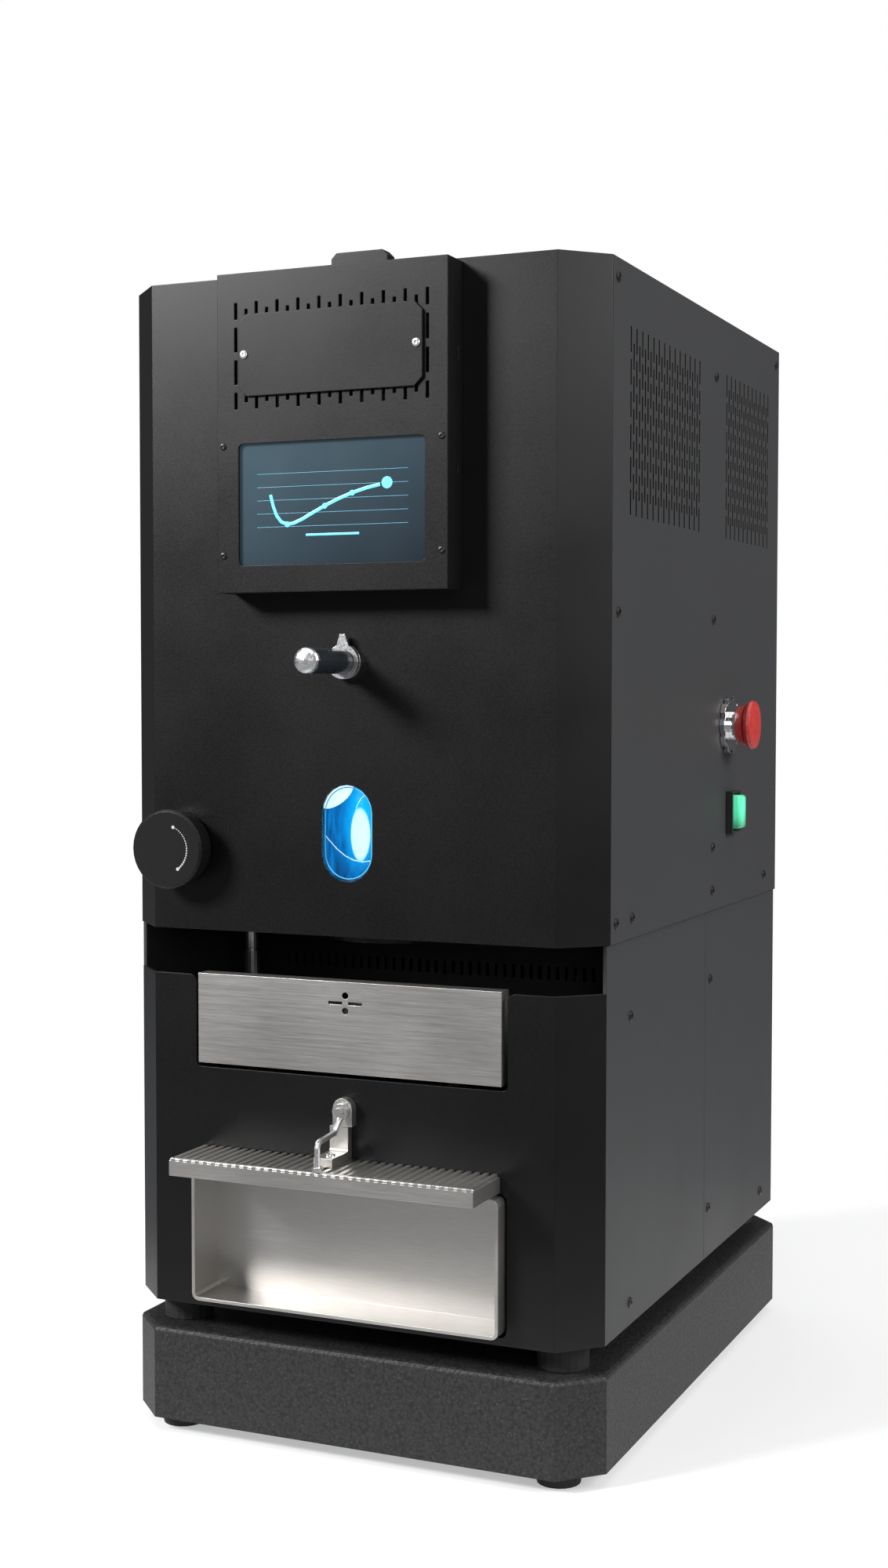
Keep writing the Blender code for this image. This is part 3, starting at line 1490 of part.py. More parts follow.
def make_hot_air(root):
    bottom = floor_top + seam
    top = bottom + heater_height
    legs = bottom + heater_leg_height
    a = heater_leg_side
    b = a - heater_leg_width
    w = heater_width / 2
    y0 = heater_depth
    y1 = y0 + heater_length
    right = [(b, legs), (b, bottom), (a, bottom), (a, legs + sheet), (w, legs + sheet), (w, top)]
    outline = right + [(-x, z) for x, z in reversed(right)]
    bm = bmesh.new()
    prism(bm, outline, "Y", y0, y1)
    heater = piece("heater_housing", bm, "zinc_steel", root)
    bm = bmesh.new()
    neck_z = (ring_bottom + ring_top - heater_neck_height) / 2
    half = heater_neck_width / 2
    low = (-half, chamber_depth + chamber_radius, neck_z)
    block(bm, low, (half, y0 + overrun, neck_z + heater_neck_height))
    add(heater, bm)
    bm = bmesh.new()
    bar(bm, air_ring_radius + seam, "Z", (0, chamber_depth), bottom, top, 56)
    cut(heater, bm)

    here = (blower_depth, upper_bottom + blower_rise)
    outlet_top = here[1] + blower_radius
    outlet_low = outlet_top - blower_outlet_height
    side = w - blower_wall
    t = heater_wall
    bm = bmesh.new()
    block(bm, (-w + t, y0 + t, legs + t), (w - t, y1 - t, top - t))
    cut(heater, bm)
    bm = bmesh.new()
    low = (-side, chamber_depth, neck_z + t)
    block(bm, low, (side, y0 + heater_length / 2, neck_z + heater_neck_height - t))
    cut(heater, bm)
    bm = bmesh.new()
    low = (-side + blower_wall, y1 - heater_length / 2, outlet_low + blower_wall)
    block(bm, low, (side - blower_wall, y1 + overrun, outlet_top - blower_wall))
    cut(heater, bm)

    half = blower_width / 2
    bm = bmesh.new()
    bar(bm, blower_radius, "X", here, -half, half)
    blower = piece("blower_housing", bm, "zinc_steel", root)
    bm = bmesh.new()
    block(bm, (-side, y1 + seam, outlet_low), (side, blower_depth, outlet_top))
    add(blower, bm)
    bm = bmesh.new()
    bar(bm, motor_radius, "X", here, -half - motor_length, -half + blower_wall / 2, 20)
    for sign in (1, -1):
        x = sign * (half - blower_leg_width / 2)
        low = (x - blower_leg_width / 2, blower_depth - blower_leg_length / 2, bottom)
        high_z = here[1] - blower_radius + blower_wall / 2
        block(bm, low, (x + blower_leg_width / 2, blower_depth + blower_leg_length / 2, high_z))
    add(blower, bm)
    bm = bmesh.new()
    bar(bm, blower_radius - blower_wall, "X", here, -half + blower_wall, half - blower_wall)
    cut(blower, bm)
    bm = bmesh.new()
    low = (-side + blower_wall, y1 - overrun, outlet_low + blower_wall)
    block(bm, low, (side - blower_wall, blower_depth, outlet_top - blower_wall))
    bar(bm, blower_inlet_radius, "X", here, half - overrun, half + overrun, 20)
    cut(blower, bm)
    bm = bmesh.new()
    bore = bore_for(impeller_shaft, small_steps)
    bar(bm, bore, "X", here, -half - motor_bore_length, -half + overrun, small_steps)
    cut(blower, bm)

    make_impeller(root, here, half)


def make_impeller(root, here, half):
    spin = pivot("blower_spin", (0, *here), root)
    plate = -half + impeller_offset
    shaft_end = -half - motor_bore_length + seam
    profile = [(0, shaft_end), (impeller_shaft, shaft_end), (impeller_shaft, plate)]
    profile += [(impeller_radius, plate), (impeller_radius, plate + impeller_plate)]
    profile += [(impeller_hub, plate + impeller_plate), (impeller_hub, plate + impeller_hub)]
    profile += [(0, plate + impeller_hub)]
    bm = bmesh.new()
    revolve(bm, profile, "X", here, 24)
    impeller = piece("blower_impeller", bm, "zinc_steel", spin)
    bm = bmesh.new()
    for i in range(impeller_blades):
        t = impeller_blade_thickness / 2
        low = (plate + impeller_plate / 2, -t, impeller_root)
        blade = block(bm, low, (plate + impeller_blade_width, t, impeller_radius - t))
        turn = Matrix.Rotation(math.tau * (i + 0.5) / impeller_blades, 4, "X")
        bmesh.ops.transform(bm, matrix=Matrix.Translation((0, *here)) @ turn, verts=blade)
    add(impeller, bm)


def make_chaff_duct(root):
    start_y = chamber_depth + chamber_radius + seam
    start_z = head_top - head_port_drop
    far = back - duct_back
    end_y = bin_front + bin_length + seam
    end_z = lower_bottom + bin_rise + bin_height / 2
    route = [(0, start_y, start_z), (0, far, start_z), (0, far, end_z), (0, end_y, end_z)]
    bm = bmesh.new()
    sweep(bm, bent_points(route, duct_bend), duct_radius, duct_steps)
    duct = piece("chaff_duct", bm, "zinc_steel", root)
    route[0] = (0, start_y - overrun, start_z)
    route[-1] = (0, end_y - overrun, end_z)
    bm = bmesh.new()
    sweep(bm, bent_points(route, duct_bend), duct_radius - duct_wall, duct_steps)
    cut(duct, bm)


def make_power_inlet(root):
    z = lower_bottom + inlet_rise
    x = inlet_side
    face = back + seam
    w = inlet_width / 2
    t = inlet_height / 2
    bm = bmesh.new()
    block(bm, (x - w, face, z - t), (x + w, face + inlet_flange, z + t))
    inlet = piece("power_inlet", bm, "black_plastic", root)
    bm = bmesh.new()
    w = inlet_body_width / 2
    t = inlet_body_height / 2
    block(bm, (x - w, face - inlet_body_depth, z - t), (x + w, face + inlet_flange / 2, z + t))
    add(inlet, bm)
    bm = bmesh.new()
    w -= inlet_recess_margin
    t -= inlet_recess_margin
    bottom = face - inlet_recess_depth
    block(bm, (x - w, bottom, z - t), (x + w, face + overrun, z + t))
    cut(inlet, bm)
    bm = bmesh.new()
    for i in (-1, 0, 1):
        px = x + i * inlet_pin_pitch
        pz = z + (inlet_pin_height / 2 if i == 0 else -inlet_pin_height / 2)
        low = (px - inlet_pin_width / 2, bottom - sheet / 2, pz - inlet_pin_height / 2)
        block(bm, low, (px + inlet_pin_width / 2, bottom + inlet_pin_length, pz + inlet_pin_height / 2))
    add(inlet, bm)


def main():
    clear_scene()
    machine = pivot("machine", (0, 0, 0))
    make_base(machine)
    make_lower_housing(machine)
    make_cooling_bay(machine)
    make_tray(machine)
    make_cooling_fan(machine)
    make_chaff_drawer(machine)
    make_shelf(machine)
    make_catch(machine)
    make_upper_housing(machine)
    make_display(machine)
    make_chamber(machine)
    make_air_ring(machine)
    make_bean_gate(machine)
    make_feed(machine)
    make_sampler(machine)
    make_knob(machine)
    make_stop_button(machine)
    make_rocker(machine)
    make_hot_air(machine)
    make_chaff_duct(machine)
    make_power_inlet(machine)


main()
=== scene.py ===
import math
import bmesh
import bpy
from mathutils import Matrix, Vector


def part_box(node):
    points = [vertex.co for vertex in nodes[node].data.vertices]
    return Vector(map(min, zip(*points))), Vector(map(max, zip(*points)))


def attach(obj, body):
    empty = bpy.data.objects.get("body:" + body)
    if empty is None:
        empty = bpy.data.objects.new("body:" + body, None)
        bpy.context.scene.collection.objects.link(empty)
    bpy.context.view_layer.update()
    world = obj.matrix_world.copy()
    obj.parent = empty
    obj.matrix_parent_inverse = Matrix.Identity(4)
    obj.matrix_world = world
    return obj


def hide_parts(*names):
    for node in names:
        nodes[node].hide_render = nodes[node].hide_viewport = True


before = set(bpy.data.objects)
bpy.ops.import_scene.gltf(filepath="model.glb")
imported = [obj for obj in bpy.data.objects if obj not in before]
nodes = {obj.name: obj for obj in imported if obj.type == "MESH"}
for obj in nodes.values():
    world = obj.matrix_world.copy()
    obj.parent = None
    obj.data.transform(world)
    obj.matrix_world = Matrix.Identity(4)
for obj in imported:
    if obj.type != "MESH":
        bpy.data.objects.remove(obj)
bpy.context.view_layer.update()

# Millimetres from the middle of the front, the front panel and the worktop become the
# frame's metres here
MM = 0.001
MIDDLE = Vector((9.45, 165.8, 0.0))


def at(x, y, z):
    return (Vector((x, y, z)) - MIDDLE) * MM


# Finishes


class Finish:
    """A material made from patterns on the object's own coordinates."""

    def __init__(self, name, colour, roughness, metallic=0.0, **sockets):
        self.material = bpy.data.materials.new(name)
        self.material.use_nodes = True
        self.tree = self.material.node_tree
        self.shader = self.tree.nodes["Principled BSDF"]
        self.set("Base Color", (*colour, 1.0))
        self.set("Roughness", roughness)
        self.set("Metallic", metallic)
        for socket, value in sockets.items():
            self.set(socket.replace("_", " "), value)
        self.place = self.node("ShaderNodeTexCoord").outputs["Object"]
        self.height = None
        self.rounding = None

    def set(self, socket, value):
        self.shader.inputs[socket].default_value = value

    def node(self, kind, **values):
        made = self.tree.nodes.new(kind)
        for name, value in values.items():
            if hasattr(made, name):
                setattr(made, name, value)
            else:
                made.inputs[name].default_value = value
        return made

    def link(self, out, into):
        self.tree.links.new(out, into)

    def stretched(self, scale, turn=(0, 0, 0), centre=(0, 0, 0)):
        mapping = self.node("ShaderNodeMapping", Scale=scale, Rotation=turn)
        mapping.inputs["Location"].default_value = [-c * s for c, s in zip(centre, scale)]
        self.link(self.place, mapping.inputs["Vector"])
        return mapping.outputs["Vector"]

    def noise(self, scale, detail=2.0, roughness=0.5, stretch=(1, 1, 1), distortion=0.0):
        made = self.node("ShaderNodeTexNoise", Scale=scale, Detail=detail, Roughness=roughness)
        made.inputs["Distortion"].default_value = distortion
        self.link(self.stretched(stretch), made.inputs["Vector"])
        return made.outputs["Fac"]

    def cells(self, scale, feature="F1", stretch=(1, 1, 1)):
        made = self.node("ShaderNodeTexVoronoi", feature=feature, Scale=scale)
        self.link(self.stretched(stretch), made.inputs["Vector"])
        return made

    def ramp(self, fac, low, high, start, end):
        made = self.node("ShaderNodeMapRange")
        for name, value in (("From Min", low), ("From Max", high), ("To Min", start), ("To Max", end)):
            made.inputs[name].default_value = value
        self.link(fac, made.inputs["Value"])
        return made.outputs["Result"]

    def mix(self, fac, first, second, blend="MIX"):
        made = self.node("ShaderNodeMix", data_type="RGBA", blend_type=blend)
        for index, colour in ((6, first), (7, second)):
            if isinstance(colour, tuple):
                made.inputs[index].default_value = (*colour, 1.0)
            else:
                self.link(colour, made.inputs[index])
        if isinstance(fac, float):
            made.inputs[0].default_value = fac
        else:
            self.link(fac, made.inputs[0])
        return made.outputs[2]

    def sum(self, first, second, kind="ADD"):
        made = self.node("ShaderNodeMath", operation=kind)
        for index, value in enumerate((first, second)):
            if isinstance(value, float):
                made.inputs[index].default_value = value
            else:
                self.link(value, made.inputs[index])
        return made.outputs[0]

    def colour(self, out):
        self.link(out, self.shader.inputs["Base Color"])

    def gloss(self, out):
        self.link(out, self.shader.inputs["Roughness"])

    def bump(self, out, distance, strength=1.0):
        made = self.node("ShaderNodeBump", Strength=strength, Distance=distance)
        self.link(out, made.inputs["Height"])
        if self.height:
            self.link(self.height, made.inputs["Normal"])
        elif self.rounding:
            self.link(self.rounding, made.inputs["Normal"])
        self.height = made.outputs["Normal"]
        self.link(self.height, self.shader.inputs["Normal"])

    def rounded(self, radius):
        made = self.node("ShaderNodeBevel", samples=4, Radius=radius)
        self.rounding = made.outputs["Normal"]
        self.link(self.rounding, self.shader.inputs["Normal"])
        return self.rounding


def powder_coat(name, tone, gloss, grain, depth, sheen=0.4, edge=0.0006, painted_shade_reach=None):
    """Powder coat; optionally, all that lies deeper from the middle than a given reach is painted
    near-black: painted shade in the vent slots and on the inner face.
    """
    coat = Finish(name, tone, gloss, Specular_IOR_Level=sheen)
    coat.rounded(edge)
    fine = coat.noise(grain, 3.0, 0.6)
    cloud = coat.noise(9.0, 3.0, 0.55)
    light = tuple(min(1.0, c * 1.4 + 0.0004) for c in tone)
    dark = tuple(c * 0.82 for c in tone)
    tone = coat.mix(coat.ramp(fine, 0.3, 0.7, 0.0, 1.0), dark, light)
    # Painted shade: all that lies deeper than the outer face, the slot walls among it, is near-black
    if painted_shade_reach:
        split = coat.node("ShaderNodeSeparateXYZ")
        coat.link(coat.stretched((1, 1, 1), centre=at(0, 0, 0)), split.inputs[0])
        reach = coat.node("ShaderNodeMath", operation="ABSOLUTE")
        coat.link(split.outputs["X"], reach.inputs[0])
        outside_painted_shade = coat.ramp(reach.outputs[0], painted_shade_reach - 0.0003, painted_shade_reach - 0.0001, 0.0, 1.0)
        tone = coat.mix(outside_painted_shade, (0.002, 0.002, 0.002), tone)
    coat.colour(tone)
    shift = coat.ramp(cloud, 0.3, 0.7, gloss - 0.03, gloss + 0.05)
    coat.gloss(coat.sum(shift, coat.ramp(fine, 0.3, 0.7, -0.04, 0.04)))
    coat.bump(fine, depth)
    return coat.material


def wrinkle_coat(name):
    coat = Finish(name, (0.015, 0.015, 0.0155), 0.5, Specular_IOR_Level=0.3)
    coat.rounded(0.0009)
    lumps = coat.cells(620.0, "SMOOTH_F1")
    fine = coat.noise(1500.0, 3.0, 0.6)
    speck = coat.noise(820.0, 2.0, 0.5)
    # Painted shade: the hollows between the lumps are darker than the lumps' tops
    painted_valley_shade = coat.ramp(lumps.outputs["Distance"], 0.1, 0.7, 0.0, 1.0)
    tone = coat.mix(painted_valley_shade, (0.022, 0.022, 0.0225), (0.006, 0.006, 0.0062))
    tone = coat.mix(coat.ramp(speck, 0.62, 0.72, 0.0, 0.75), tone, (0.055, 0.055, 0.057))
    coat.colour(tone)
    coat.gloss(coat.ramp(fine, 0.3, 0.7, 0.42, 0.66))
    coat.bump(coat.ramp(lumps.outputs["Distance"], 0.0, 0.9, 1.0, 0.0), 0.00028)
    coat.bump(fine, 0.00006)
    return coat.material


def brushed_steel(name, along=(9.0, 420.0, 420.0), tone=(0.53, 0.515, 0.495), gloss=0.38, cut=None):
    """Brushed steel; where cut is given, the walls of the openings round that place are painted near-black:
    painted shade.
    """
    steel = Finish(name, tone, gloss, 1.0)
    steel.rounded(0.0004)
    fine = steel.noise(9.0, 4.0, 0.65, along)
    broad = steel.noise(2.2, 2.0, 0.5, along)
    cloud = steel.noise(14.0, 2.0, 0.5)
    dark = tuple(c * 0.88 for c in tone)
    light = tuple(min(1.0, c * 1.06) for c in tone)
    brushed = steel.mix(steel.ramp(fine, 0.3, 0.7, 0.0, 1.0), dark, light)
    if cut:
        split = steel.node("ShaderNodeSeparateXYZ")
        steel.link(steel.place, split.inputs[0])
        near = steel.node("ShaderNodeTexGradient", gradient_type="SPHERICAL")
        steel.link(steel.stretched((70.0, 20.0, 110.0), centre=cut), near.inputs["Vector"])
        painted_shade_inside = steel.ramp(split.outputs["Y"], cut.y + 0.0002, cut.y + 0.0003, 0.0, 1.0)
        painted_shade_inside = steel.sum(painted_shade_inside, steel.ramp(near.outputs["Fac"], 0.01, 0.02, 0.0, 1.0), "MULTIPLY")
        brushed = steel.mix(painted_shade_inside, brushed, (0.004, 0.004, 0.004))
    steel.colour(brushed)
    streaks = steel.ramp(steel.sum(fine, broad), 0.7, 1.3, gloss - 0.04, gloss + 0.05)
    steel.gloss(steel.sum(streaks, steel.ramp(cloud, 0.3, 0.7, -0.03, 0.03)))
    steel.bump(fine, 0.000012)
    return steel.material


def zinc_plate(name):
    plate = Finish(name, (0.42, 0.43, 0.44), 0.42, 1.0)
    plate.rounded(0.0004)
    spangle = plate.cells(120.0)
    fine = plate.noise(600.0, 3.0, 0.6)
    tone = plate.mix(0.22, (0.42, 0.43, 0.44), spangle.outputs["Color"], "SOFT_LIGHT")
    plate.colour(plate.mix(plate.ramp(fine, 0.3, 0.7, 0.0, 0.35), tone, (0.3, 0.3, 0.31)))
    plate.gloss(plate.ramp(spangle.outputs["Distance"], 0.0, 0.8, 0.33, 0.52))
    plate.bump(fine, 0.00002)
    return plate.material


def chrome(name, gloss=0.09):
    bright = Finish(name, (0.72, 0.72, 0.73), gloss, 1.0)
    bright.rounded(0.0003)
    fine = bright.noise(900.0, 2.0, 0.5)
    speck = bright.ramp(fine, 0.35, 0.65, 0.0, 1.0)
    bright.colour(bright.mix(speck, (0.66, 0.66, 0.67), (0.76, 0.76, 0.77)))
    bright.gloss(bright.ramp(fine, 0.3, 0.7, gloss - 0.03, gloss + 0.06))
    return bright.material


def moulded_plastic(name, tone, gloss, depth=0.00003):
    plastic = Finish(name, tone, gloss, Specular_IOR_Level=0.45)
    plastic.rounded(0.0005)
    fine = plastic.noise(1400.0, 2.0, 0.5)
    light = tuple(min(1.0, c * 1.3 + 0.001) for c in tone)
    plastic.colour(plastic.mix(plastic.ramp(fine, 0.35, 0.65, 0.0, 1.0), tone, light))
    plastic.gloss(plastic.ramp(fine, 0.3, 0.7, gloss - 0.05, gloss + 0.07))
    plastic.bump(fine, depth)
    return plastic.material


def foot_rubber(name):
    rubber = Finish(name, (0.012, 0.012, 0.012), 0.75, Specular_IOR_Level=0.3)
    rubber.rounded(0.0008)
    fine = rubber.noise(700.0, 3.0, 0.6)
    speck = rubber.ramp(fine, 0.3, 0.7, 0.0, 1.0)
    rubber.colour(rubber.mix(speck, (0.009, 0.009, 0.009), (0.02, 0.02, 0.02)))
    rubber.gloss(rubber.ramp(fine, 0.3, 0.7, 0.65, 0.85))
    rubber.bump(fine, 0.00008)
    return rubber.material


def lit_screen(name):
    screen = Finish(name, (0.012, 0.02, 0.026), 0.16, Specular_IOR_Level=0.5)
    slope = screen.node("ShaderNodeSeparateXYZ")
    screen.link(screen.stretched((1, 1, 1), centre=at(0, 0, 515)), slope.inputs[0])
    # Faint glow of the lit screen, with painted sheen that brightens it towards the top and the left
    rise = screen.ramp(slope.outputs["Z"], -0.034, 0.034, 0.0, 0.55)
    across = screen.ramp(slope.outputs["X"], 0.05, -0.055, 0.0, 0.45)
    glow = screen.sum(rise, across)
    tone = screen.mix(glow, (0.010, 0.015, 0.022), (0.036, 0.062, 0.078))
    screen.colour(tone)
    screen.link(tone, screen.shader.inputs["Emission Color"])
    screen.set("Emission Strength", 0.5)
    cloud = screen.noise(30.0, 2.0, 0.5)
    screen.gloss(screen.ramp(cloud, 0.3, 0.7, 0.13, 0.2))
    return screen.material


def sight_pane(name):
    pane = Finish(name, (0.75, 0.88, 1.0), 0.02, Transmission_Weight=1.0, IOR=1.45)
    cloud = pane.noise(60.0, 2.0, 0.5)
    pane.gloss(pane.ramp(cloud, 0.3, 0.7, 0.01, 0.035))
    return pane.material


def lit_chamber(name):
    """Glass that glows blue, brightest in an upright oval to the right of the window."""
    glass = Finish(name, (0.05, 0.2, 0.4), 0.15, Specular_IOR_Level=0.5)
    oval = glass.node("ShaderNodeTexGradient", gradient_type="SPHERICAL")
    glass.link(glass.stretched((140.0, 12.0, 58.0), centre=at(-2.3, 22, 338.5)), oval.inputs["Vector"])
    haze = glass.node("ShaderNodeTexGradient", gradient_type="SPHERICAL")
    glass.link(glass.stretched((75.0, 12.0, 30.0), centre=at(-1.6, 22, 346)), haze.inputs["Vector"])
    swirl = glass.noise(90.0, 3.0, 0.5, (1.0, 1.0, 0.35), 1.2)
    tone = glass.mix(glass.ramp(swirl, 0.35, 0.65, 0.0, 1.0), (0.0, 0.05, 0.16), (0.0, 0.16, 0.42))
    tone = glass.mix(glass.ramp(haze.outputs["Fac"], 0.0, 0.8, 0.0, 1.0), tone, (0.0, 0.42, 0.85))
    tone = glass.mix(glass.ramp(oval.outputs["Fac"], 0.12, 0.26, 0.0, 1.0), tone, (0.62, 0.95, 1.0))
    glass.colour(tone)
    glass.link(tone, glass.shader.inputs["Emission Color"])
    glass.set("Emission Strength", 1.5)
    glass.gloss(glass.ramp(swirl, 0.3, 0.7, 0.1, 0.2))
    return glass.material


def glowing(name, colour, strength, tone=None):
    glow = Finish(name, tone or colour, 0.35)
    fine = glow.noise(500.0, 2.0, 0.5)
    light = tuple(min(1.0, c * 1.08) for c in colour)
    mixed = glow.mix(glow.ramp(fine, 0.3, 0.7, 0.0, 1.0), colour, light)
    glow.colour(mixed)
    glow.link(mixed, glow.shader.inputs["Emission Color"])
    glow.set("Emission Strength", strength)
    return glow.material


def lit_rocker(name):
    """Green plastic lit from behind, brighter in the middle of the key."""
    key = Finish(name, (0.02, 0.3, 0.14), 0.2, Specular_IOR_Level=0.5, Coat_Weight=0.4)
    key.rounded(0.0004)
    core = key.node("ShaderNodeTexGradient", gradient_type="SPHERICAL")
    key.link(key.stretched((20.0, 95.0, 70.0), centre=at(143, 245.5, 346)), core.inputs["Vector"])
    fine = key.noise(260.0, 2.0, 0.5)
    glow = key.ramp(core.outputs["Fac"], 0.0, 0.75, 0.0, 1.0)
    tone = key.mix(glow, (0.008, 0.16, 0.075), (0.1, 0.78, 0.42))
    tone = key.mix(key.ramp(fine, 0.3, 0.7, 0.0, 0.12), tone, (0.3, 0.9, 0.6))
    key.colour(tone)
    key.link(tone, key.shader.inputs["Emission Color"])
    key.set("Emission Strength", 0.75)
    return key.material


def stop_gloss(name):
    red = Finish(name, (0.42, 0.028, 0.024), 0.34, Specular_IOR_Level=0.5)
    red.rounded(0.0006)
    fine = red.noise(300.0, 2.0, 0.5)
    red.colour(red.mix(red.ramp(fine, 0.3, 0.7, 0.0, 1.0), (0.36, 0.024, 0.02), (0.46, 0.034, 0.029)))
    red.gloss(red.ramp(fine, 0.3, 0.7, 0.28, 0.4))
    return red.material


front_coat = powder_coat("front_coat", (0.0016, 0.0016, 0.0019), 0.35, 1500.0, 0.00002, 0.3)
side_coat = powder_coat("side_coat", (0.03, 0.0303, 0.0315), 0.5, 1300.0, 0.00005, 0.25)
# Vented upper side panels: painted shade makes their slot walls near-black
slotted_coat = powder_coat(
    "slotted_coat", (0.03, 0.0303, 0.0315), 0.5, 1300.0, 0.00005, 0.25, edge=0.0003, painted_shade_reach=0.141
)
bay_coat = powder_coat("bay_coat", (0.006, 0.006, 0.0065), 0.5, 1300.0, 0.00005, 0.3)
base_coat = wrinkle_coat("base_coat")
stainless = brushed_steel("stainless")
# Tray front: painted shade on the walls of the openings in its front
tray_steel = brushed_steel("tray_steel", cut=at(0, -2.2, 249.6))
stainless_upright = brushed_steel("stainless_upright", (420.0, 420.0, 9.0))
zinc = zinc_plate("zinc_sheet")
bright_chrome = chrome("bright_chrome")
satin_chrome = chrome("satin_chrome", 0.2)
black_plastic = moulded_plastic("black_plastic", (0.012, 0.012, 0.013), 0.42)
grip_plastic = moulded_plastic("grip_plastic", (0.012, 0.015, 0.018), 0.22)
knob_coat = powder_coat("knob_coat", (0.005, 0.005, 0.0055), 0.42, 1700.0, 0.00003, 0.22)
screw_steel = chrome("screw_steel", 0.32)
black_screw = moulded_plastic("black_screw", (0.005, 0.005, 0.0055), 0.3)
satin_silver = chrome("satin_silver", 0.3)
seal_glint = glowing("seal_glint", (0.08, 0.36, 0.55), 0.5)
rubber = foot_rubber("foot_rubber")
screen_glass = lit_screen("screen_glass")
sight_glass = sight_pane("sight_glass")
chamber_glow = lit_chamber("chamber_glow")
stop_red = stop_gloss("stop_red")
rocker_green = lit_rocker("rocker_green")
screen_cyan = glowing("screen_cyan", (0.09, 0.55, 0.78), 1.3)
screen_dim = glowing("screen_dim", (0.05, 0.22, 0.32), 0.7)
gleam_white = glowing("gleam_white", (0.8, 0.93, 1.0), 1.1)
line_pale = glowing("line_pale", (0.55, 0.8, 0.95), 0.8)
print_white = moulded_plastic("print_white", (0.42, 0.42, 0.42), 0.5)

COATS = {
    "upper_front_cover": front_coat,
    "lower_front_cover": front_coat,
    "top_cover": front_coat,
    "display_box": front_coat,
    "name_plate": front_coat,
    "feed_lid": front_coat,
    "upper_side_right": slotted_coat,
    "upper_side_left": slotted_coat,
    "upper_rear_cover": side_coat,
    "lower_side_right": side_coat,
    "lower_side_left": side_coat,
    "lower_rear_cover": side_coat,
    "bay_back_panel": bay_coat,
    "base_plinth": base_coat,
    "base_plate": zinc,
    "foot_front_right": rubber,
    "foot_front_left": rubber,
    "foot_rear_right": rubber,
    "foot_rear_left": rubber,
    "stand_off_front_right": rubber,
    "stand_off_front_left": rubber,
    "stand_off_rear_right": rubber,
    "stand_off_rear_left": rubber,
    "tray_front": tray_steel,
    "tray_basket": stainless,
    "chaff_drawer_front": stainless,
    "chaff_drawer_bin": zinc,
    "ribbed_shelf": stainless,
    "shelf_bracket": stainless_upright,
    "catch_block": stainless_upright,
    "catch_lever": satin_silver,
    "chamber_head": stainless,
    "air_ring": stainless,
    "bean_gate": stainless,
    "feed_funnel": stainless,
    "lower_floor": bay_coat,
    "upper_floor": bay_coat,
    "tray_deck": bay_coat,
    "lid_hinge": zinc,
    "rotary_control": zinc,
    "heater_housing": zinc,
    "blower_housing": zinc,
    "blower_impeller": zinc,
    "chaff_duct": zinc,
    "conduit_post": satin_chrome,
    "sampler_sleeve": satin_silver,
    "sampler_cap": satin_silver,
    "sampler_rod": grip_plastic,
    "stop_collar": bright_chrome,
    "stop_neck": bright_chrome,
    "stop_button": stop_red,
    "control_knob": knob_coat,
    "cooling_fan_frame": black_plastic,
    "cooling_fan_rotor": black_plastic,
    "rocker_frame": black_plastic,
    "rocker_button": rocker_green,
    "power_inlet": black_plastic,
    "display_screen": screen_glass,
    "sight_glass": sight_glass,
    "chamber_glass": chamber_glow,
}
for name, node in nodes.items():
    node.data.materials.clear()
    node.data.materials.append(COATS[name])


# Helpers for small pieces


def finished(name, bm, material, body, smooth=False):
    bmesh.ops.recalc_face_normals(bm, faces=bm.faces)
    mesh = bpy.data.meshes.new(name)
    bm.to_mesh(mesh)
    bm.free()
    mesh.materials.append(material)
    if smooth:
        mesh.shade_smooth()
        mesh.set_sharp_from_angle(angle=math.radians(35))
    made = bpy.data.objects.new(name, mesh)
    bpy.context.scene.collection.objects.link(made)
    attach(made, body)
    return made


def facing(place, direction):
    """A turn that points +Z along the direction, at a place."""
    turn = Vector((0, 0, 1)).rotation_difference(Vector(direction)).to_matrix().to_4x4()
    return Matrix.Translation(place) @ turn


def screw_head(bm, place, direction, radius, rise=0.42):
    """One button head with a sunk socket, standing on the surface at the place."""
    height = radius * rise
    cone = bmesh.ops.create_cone(
        bm, cap_ends=True, segments=18, radius1=radius, radius2=radius * 0.94, depth=height * 0.6,
        matrix=Matrix.Translation((0, 0, height * 0.3)),
    )
    verts = cone["verts"]
    top = max({f for v in verts for f in v.link_faces}, key=lambda f: f.calc_center_median().z)
    bmesh.ops.inset_individual(bm, faces=[top], thickness=radius * 0.22, depth=height * 0.28)
    bmesh.ops.inset_individual(bm, faces=[top], thickness=radius * 0.24, depth=height * 0.12)
    bmesh.ops.inset_individual(bm, faces=[top], thickness=radius * 0.04, depth=0)
    bmesh.ops.inset_individual(bm, faces=[top], thickness=radius * 0.02, depth=-height * 0.65)
    shell = set(verts)
    grow = list(verts)
    while grow:
        for edge in grow.pop().link_edges:
            for v in edge.verts:
                if v not in shell:
                    shell.add(v)
                    grow.append(v)
    bmesh.ops.transform(bm, matrix=facing(place, direction), verts=list(shell))


def screws(name, places, direction, radius, material, body="cabinet"):
    bm = bmesh.new()
    for place in places:
        screw_head(bm, place, direction, radius * MM)
    return finished(name, bm, material, body, smooth=True)


